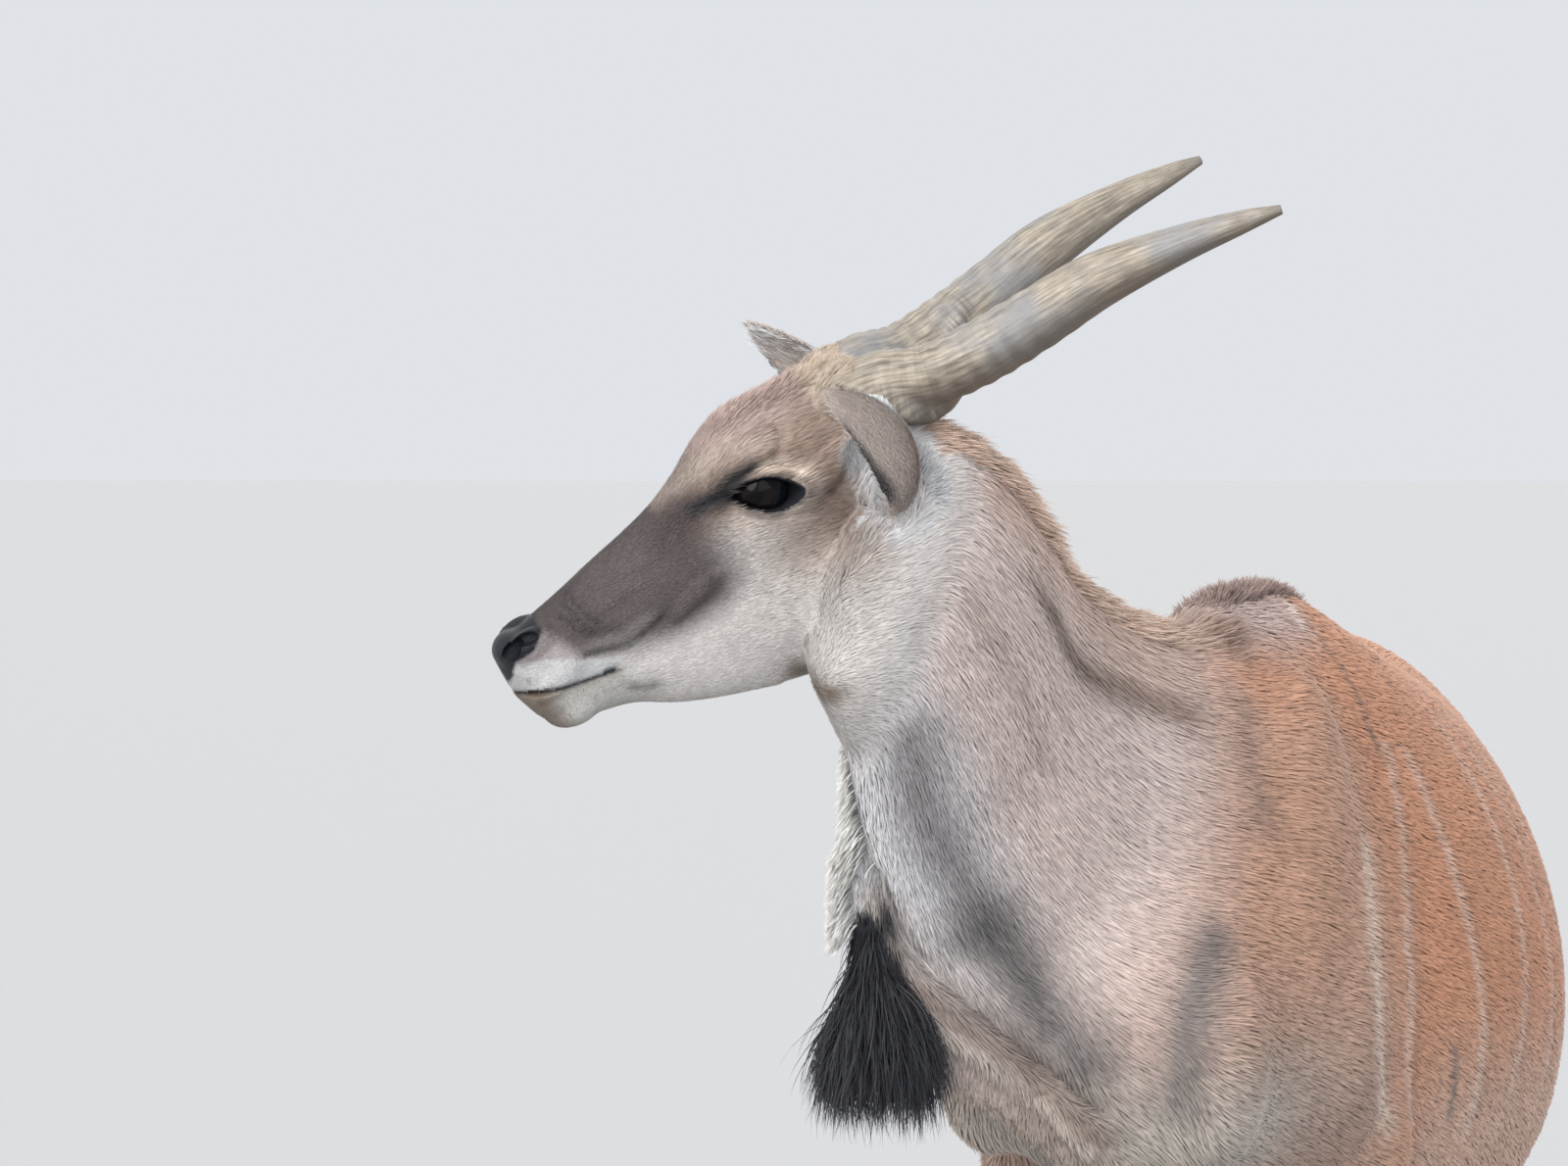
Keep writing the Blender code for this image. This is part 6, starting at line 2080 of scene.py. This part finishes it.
def fringe():
    draw = np.random.default_rng(27)
    share = draw.uniform(0, 1, FRINGE_COUNT)
    line = np.array(smooth_rows(FRINGE_LINE, 100))[(share * 99).astype(int)]
    side = draw.normal(0, 0.5, FRINGE_COUNT)
    roots = line + np.outer(side * 0.024, THROAT_LEFT) + THROAT_AHEAD * 0.010
    way = THROAT_AHEAD + np.outer(side * 0.35, THROAT_LEFT)
    length = FRINGE_LENGTH * (0.45 + 0.55 * rise(share, 0.0, 0.5))
    return ribbons(roots, way - UP * 0.30, way * 0.6 - UP * 0.9, length, TUFT_WIDTH, FRINGE_TINT,
                   FRINGE_TIP, seed=28)


hair.append(hair_piece("eland_hair_fringe", [fringe()]))
hair.append(hair_piece("eland_hair_tuft", [tuft()]))

# %% Tail tuft
# where the tuft's roots lie along the tail, from the top down, and the hair's size
TAIL_ALONG = 1.432
TAIL_TOP = 0.665
TAIL_DROP = 0.13
TAIL_COUNT = 3000
TAIL_LENGTH = 0.165
TAIL_WIDTH = 0.0024


def tail_tuft():
    draw = np.random.default_rng(29)
    share = draw.uniform(0, 1, TAIL_COUNT)
    turn = draw.uniform(0, 2 * math.pi, TAIL_COUNT)
    out = np.stack([np.cos(turn), np.sin(turn), 0 * turn], axis=1)
    heights = TAIL_TOP - TAIL_DROP * share
    roots = np.stack([0 * share, TAIL_ALONG + 0 * share, heights], axis=1) + out * 0.012
    fall_way = out * draw.uniform(-0.15, 0.10, (TAIL_COUNT, 1)) - UP
    return ribbons(roots, out * 0.45 - UP, fall_way, TAIL_LENGTH, TAIL_WIDTH, BLACK, TUFT_TIP_SHEEN,
                   steps=6, seed=30)


hair.append(hair_piece("eland_hair_tail", [tail_tuft()]))

# %% Hair of the head
FORELOCK_COUNT = 5000
FORELOCK_LENGTH = 0.019
BUMP_COUNT = 2600
BUMP_LENGTH = 0.010
BUMP_TIP = (0.62, 0.500, 0.390)
EAR_FRINGE_COUNT = 1700
EAR_FRINGE_LENGTH = 0.019
EAR_FRINGE_TIP = (0.74, 0.75, 0.77)
EAR_INSIDE_COUNT = 900
EAR_INSIDE_LENGTH = 0.021
EAR_INSIDE_ROOT = (0.52, 0.49, 0.48)
HALO_COUNT = 2600
HALO_LENGTH = 0.015
HALO_TIP = (0.68, 0.680, 0.680)
LASH_COUNT = 150
LASH_LENGTH = 0.0085
WHISKER_COUNT = 46
WHISKER_LENGTH = 0.016


def forehead_hair():
    draw = np.random.default_rng(31)
    ahead = draw.uniform(-0.115, 0.050, FORELOCK_COUNT)
    side = draw.normal(0, 0.020, FORELOCK_COUNT)
    roots = on_head(ahead, side, 0.085)
    tint = paint(rooted(roots)[0])
    lean = np.outer(side / 0.03, HEAD[1]) * 0.4
    length = FORELOCK_LENGTH * rise(ahead, 0.075, 0.0)
    return ribbons(roots, HEAD[2] * 0.65 - HEAD[0] * 0.8 + lean, HEAD[2] * 0.30 - HEAD[0] + lean,
                   length, 0.0011, tint * 0.8, tint * 1.15, steps=4, seed=32)


def bump_hair():
    draw = np.random.default_rng(33)
    ahead = draw.uniform(-0.170, -0.092, BUMP_COUNT)
    side = draw.uniform(-0.085, 0.085, BUMP_COUNT)
    roots = on_head(ahead, side, 0.090 - 2.0 * side * side)
    return ribbons(roots, HEAD[2] * 0.7 - HEAD[0] * 0.3, HEAD[2] * 0.2 - HEAD[0] * 0.8,
                   BUMP_LENGTH, 0.0013, BUMP, BUMP_TIP, steps=3, seed=34, stray=0.45)


def ear_hair(side):
    """The pale fringe of the ear's hind rim, and the loose hair inside the cup."""
    rows = np.array(smooth_rows(EAR_ROWS, 100))
    draw = np.random.default_rng(35 + side)

    def turned(vectors):
        return np.asarray(vectors) * [1, side, 1] @ HEAD

    picked = rows[(draw.uniform(0.02, 0.62, EAR_FRINGE_COUNT) * 99).astype(int)]
    behind = draw.uniform(0, 0.5, EAR_FRINGE_COUNT) * picked[:, 2]
    rim = ear_middle(picked[:, 0]) - EAR_ACROSS * picked[:, 1:2] - np.outer(behind, EAR_OPEN)
    rim_hair = ribbons(HEAD_ORIGIN + turned(rim),
                       turned(-EAR_ACROSS + EAR_AXIS * 0.35 - EAR_OPEN * 0.1),
                       turned(-EAR_ACROSS * 0.7 + EAR_AXIS * 0.7),
                       EAR_FRINGE_LENGTH * rise(picked[:, 0], 0.75, 0.30), 0.0012, EAR_PALE,
                       EAR_FRINGE_TIP, steps=4, seed=36 + side)
    picked = rows[(draw.uniform(0.25, 0.85, EAR_INSIDE_COUNT) * 99).astype(int)]
    centre = ear_middle(picked[:, 0])
    across = draw.uniform(-0.9, 0.9, (EAR_INSIDE_COUNT, 1)) * picked[:, 1:2]
    place = centre + EAR_ACROSS * across - EAR_OPEN * 0.006
    way = -(place - centre) / 0.04 + EAR_OPEN * 0.7 + EAR_AXIS * 0.5
    inside = ribbons(HEAD_ORIGIN + turned(place), turned(way), turned(EAR_OPEN * 0.3 + EAR_AXIS),
                     EAR_INSIDE_LENGTH, 0.0011, EAR_INSIDE_ROOT, EAR_PALE, steps=4, seed=38 + side)
    return [rim_hair, inside]


def ear_halo(side):
    """Soft white hair that stands out behind the root of the ear."""
    draw = np.random.default_rng(47 + side)
    line = np.array(smooth_rows(EAR_HALO, 100))[draw.integers(0, 100, HALO_COUNT)]
    line = line + draw.normal(0, 0.005, (HALO_COUNT, 2))
    away = unit_rows((line - EAR_ROOT[[0, 2]]) @ HEAD[[0, 2]])
    out = HEAD[1] * side
    return ribbons(on_head(line[:, 0], 0.088 * side, line[:, 1]), away + out * 0.6, away + out * 0.2,
                   HALO_LENGTH, 0.0012, EAR_PALE, HALO_TIP, steps=4, seed=48 + side, stray=0.2)


def lashes(side):
    line = almond()
    upper = line[line[:, 1] > np.interp(line[:, 0], [-0.040, 0.035], [-0.020, 0.012])]
    draw = np.random.default_rng(41 + side)
    picked = upper[draw.integers(0, len(upper), LASH_COUNT)]
    picked = picked + draw.normal(0, 0.0007, (LASH_COUNT, 2))
    out = HEAD[1] * side
    return ribbons(on_head(picked[:, 0], 0.068 * side, picked[:, 1]), out + HEAD[2] * 0.15,
                   out * 0.7 - HEAD[2] * 0.7, LASH_LENGTH, 0.0006, BLACK, BLACK, steps=4,
                   seed=42 + side)


def whiskers(side):
    draw = np.random.default_rng(43 + side)
    ahead = draw.uniform(0.225, 0.312, WHISKER_COUNT)
    on_lip = draw.uniform(0, 1, WHISKER_COUNT) < 0.5
    height = np.where(on_lip, draw.uniform(-0.070, -0.045, WHISKER_COUNT),
                      draw.uniform(-0.122, -0.092, WHISKER_COUNT))
    out = HEAD[1] * side
    return ribbons(on_head(ahead, 0.060 * side, height), out + HEAD[0] * 0.3 - HEAD[2] * 0.3,
                   out + HEAD[0] * 0.1 - HEAD[2] * 0.8, WHISKER_LENGTH, 0.0005, BLACK, CHIN_BROWN,
                   steps=4, seed=44 + side)


kinds = [forehead_hair(), bump_hair()]
for side in SIDES.values():
    kinds += ear_hair(side) + [ear_halo(side), lashes(side), whiskers(side)]
hair.append(hair_piece("eland_hair_head", kinds))

# %% [markdown]
# ## Bringing it together
# All pieces were made in the animal's own frame. They are moved to the imported model's place, each
# mesh as a whole, so that the objects themselves stay unturned at the origin. Then the parts of the
# imported model that each piece stands for are hidden, and each piece is attached to the whole
# animal, so that it moves with it.

# %% Place the pieces
BLACK_PIECES = ["eland_hair_tuft", "eland_hair_tail"]
FLESH = ["head", "neck", "dewlap", "torso", "tail", "ear_left", "ear_right"]
for leg in hooves:
    FLESH += [leg, leg + "_cannon"]


def settle(piece, name, finish, slot, *nodes):
    piece.name = name
    piece.data.name = name
    if finish:
        piece.data.materials.clear()
        piece.data.materials.append(finish)
    piece.data.transform(Matrix.Translation(Vector(SHIFT)))
    piece.data.shade_smooth()
    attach(piece, "root")
    if nodes:
        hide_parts(*nodes)


skin.data.uv_layers.remove(skin.data.uv_layers["OFBake"])
settle(skin, "eland_skin", SKIN_FINISH, "coat_tan", *FLESH)
for piece in coat:
    settle(piece, piece.name, None, "coat_tan")
for piece in hair:
    slot = "hair_black" if piece.name in BLACK_PIECES else "coat_pale"
    settle(piece, piece.name, COAT_FINISH, slot)
for word in SIDES:
    settle(eyes[word], "eland_eye_" + word, EYE_FINISH, "eye", "eye_" + word)
    settle(horns[word], "eland_horn_" + word, HORN_FINISH, "horn", "horn_" + word)
for leg, hoof in hooves.items():
    settle(hoof, "eland_hoof_" + leg, HOOF_FINISH, "hoof", leg + "_hoof")
print("pieces placed")

# %% [markdown]
# ## Floor and light
# The photograph was taken under a soft, bright sky. A pale floor without an edge, a pale sky, one
# wide soft sun in front on the left and two weaker ones give the same shading without hard shadows.
# A small lamp far off only puts the glint into the eye and the shine on the nose.

# %% Floor, sky and lamps
FLOOR_SIZE = 400.0
PALE = (0.495, 0.495, 0.50, 1)
SKY = (0.86, 0.885, 0.925, 1)
SKY_POWER = 0.86
LOOKED_AT = Vector((0, 0, 1))
# kind, place, size or angle, power, colour
LAMPS = [
    ("SUN", (-4.0, -8.0, 5.5), 50.0, 2.90, (1.0, 0.98, 0.95)),
    ("SUN", (5.0, -6.0, 3.0), 60.0, 0.90, (0.94, 0.97, 1.0)),
    ("SUN", (2.0, 8.0, 6.0), 60.0, 0.80, (1.0, 0.98, 0.95)),
    ("AREA", (-2.07, -4.2, 5.0), 0.22, 40.0, (1.0, 1.0, 1.0)),
]

half = FLOOR_SIZE / 2
corners = [(x, y, 0) for x, y in ((-half, -half), (half, -half), (half, half), (-half, half))]
floor_mesh = bpy.data.meshes.new("floor")
floor_mesh.from_pydata(corners, [], [(0, 1, 2, 3)])
floor = linked("floor", floor_mesh)
floor_finish, floor_tree, floor_shader = new_material("pale_floor")
feed(floor_tree, floor_shader, {"Base Color": PALE, "Roughness": 0.9})
floor_mesh.materials.append(floor_finish)

sky = bpy.data.worlds.new("pale_sky")
sky.use_nodes = True
feed(sky.node_tree, sky.node_tree.nodes["Background"], {"Color": SKY, "Strength": SKY_POWER})
bpy.context.scene.world = sky
bpy.context.scene.view_settings.view_transform = "Standard"

for kind, place, size, power, colour in LAMPS:
    light = bpy.data.lights.new("soft_lamp", kind)
    light.energy = power
    light.color = colour
    if kind == "SUN":
        light.angle = math.radians(size)
    else:
        light.size = size
    lamp = linked("soft_lamp", light)
    lamp.location = place
    lamp.rotation_euler = (LOOKED_AT - Vector(place)).to_track_quat("-Z", "Y").to_euler()
print("lamps", len(LAMPS))
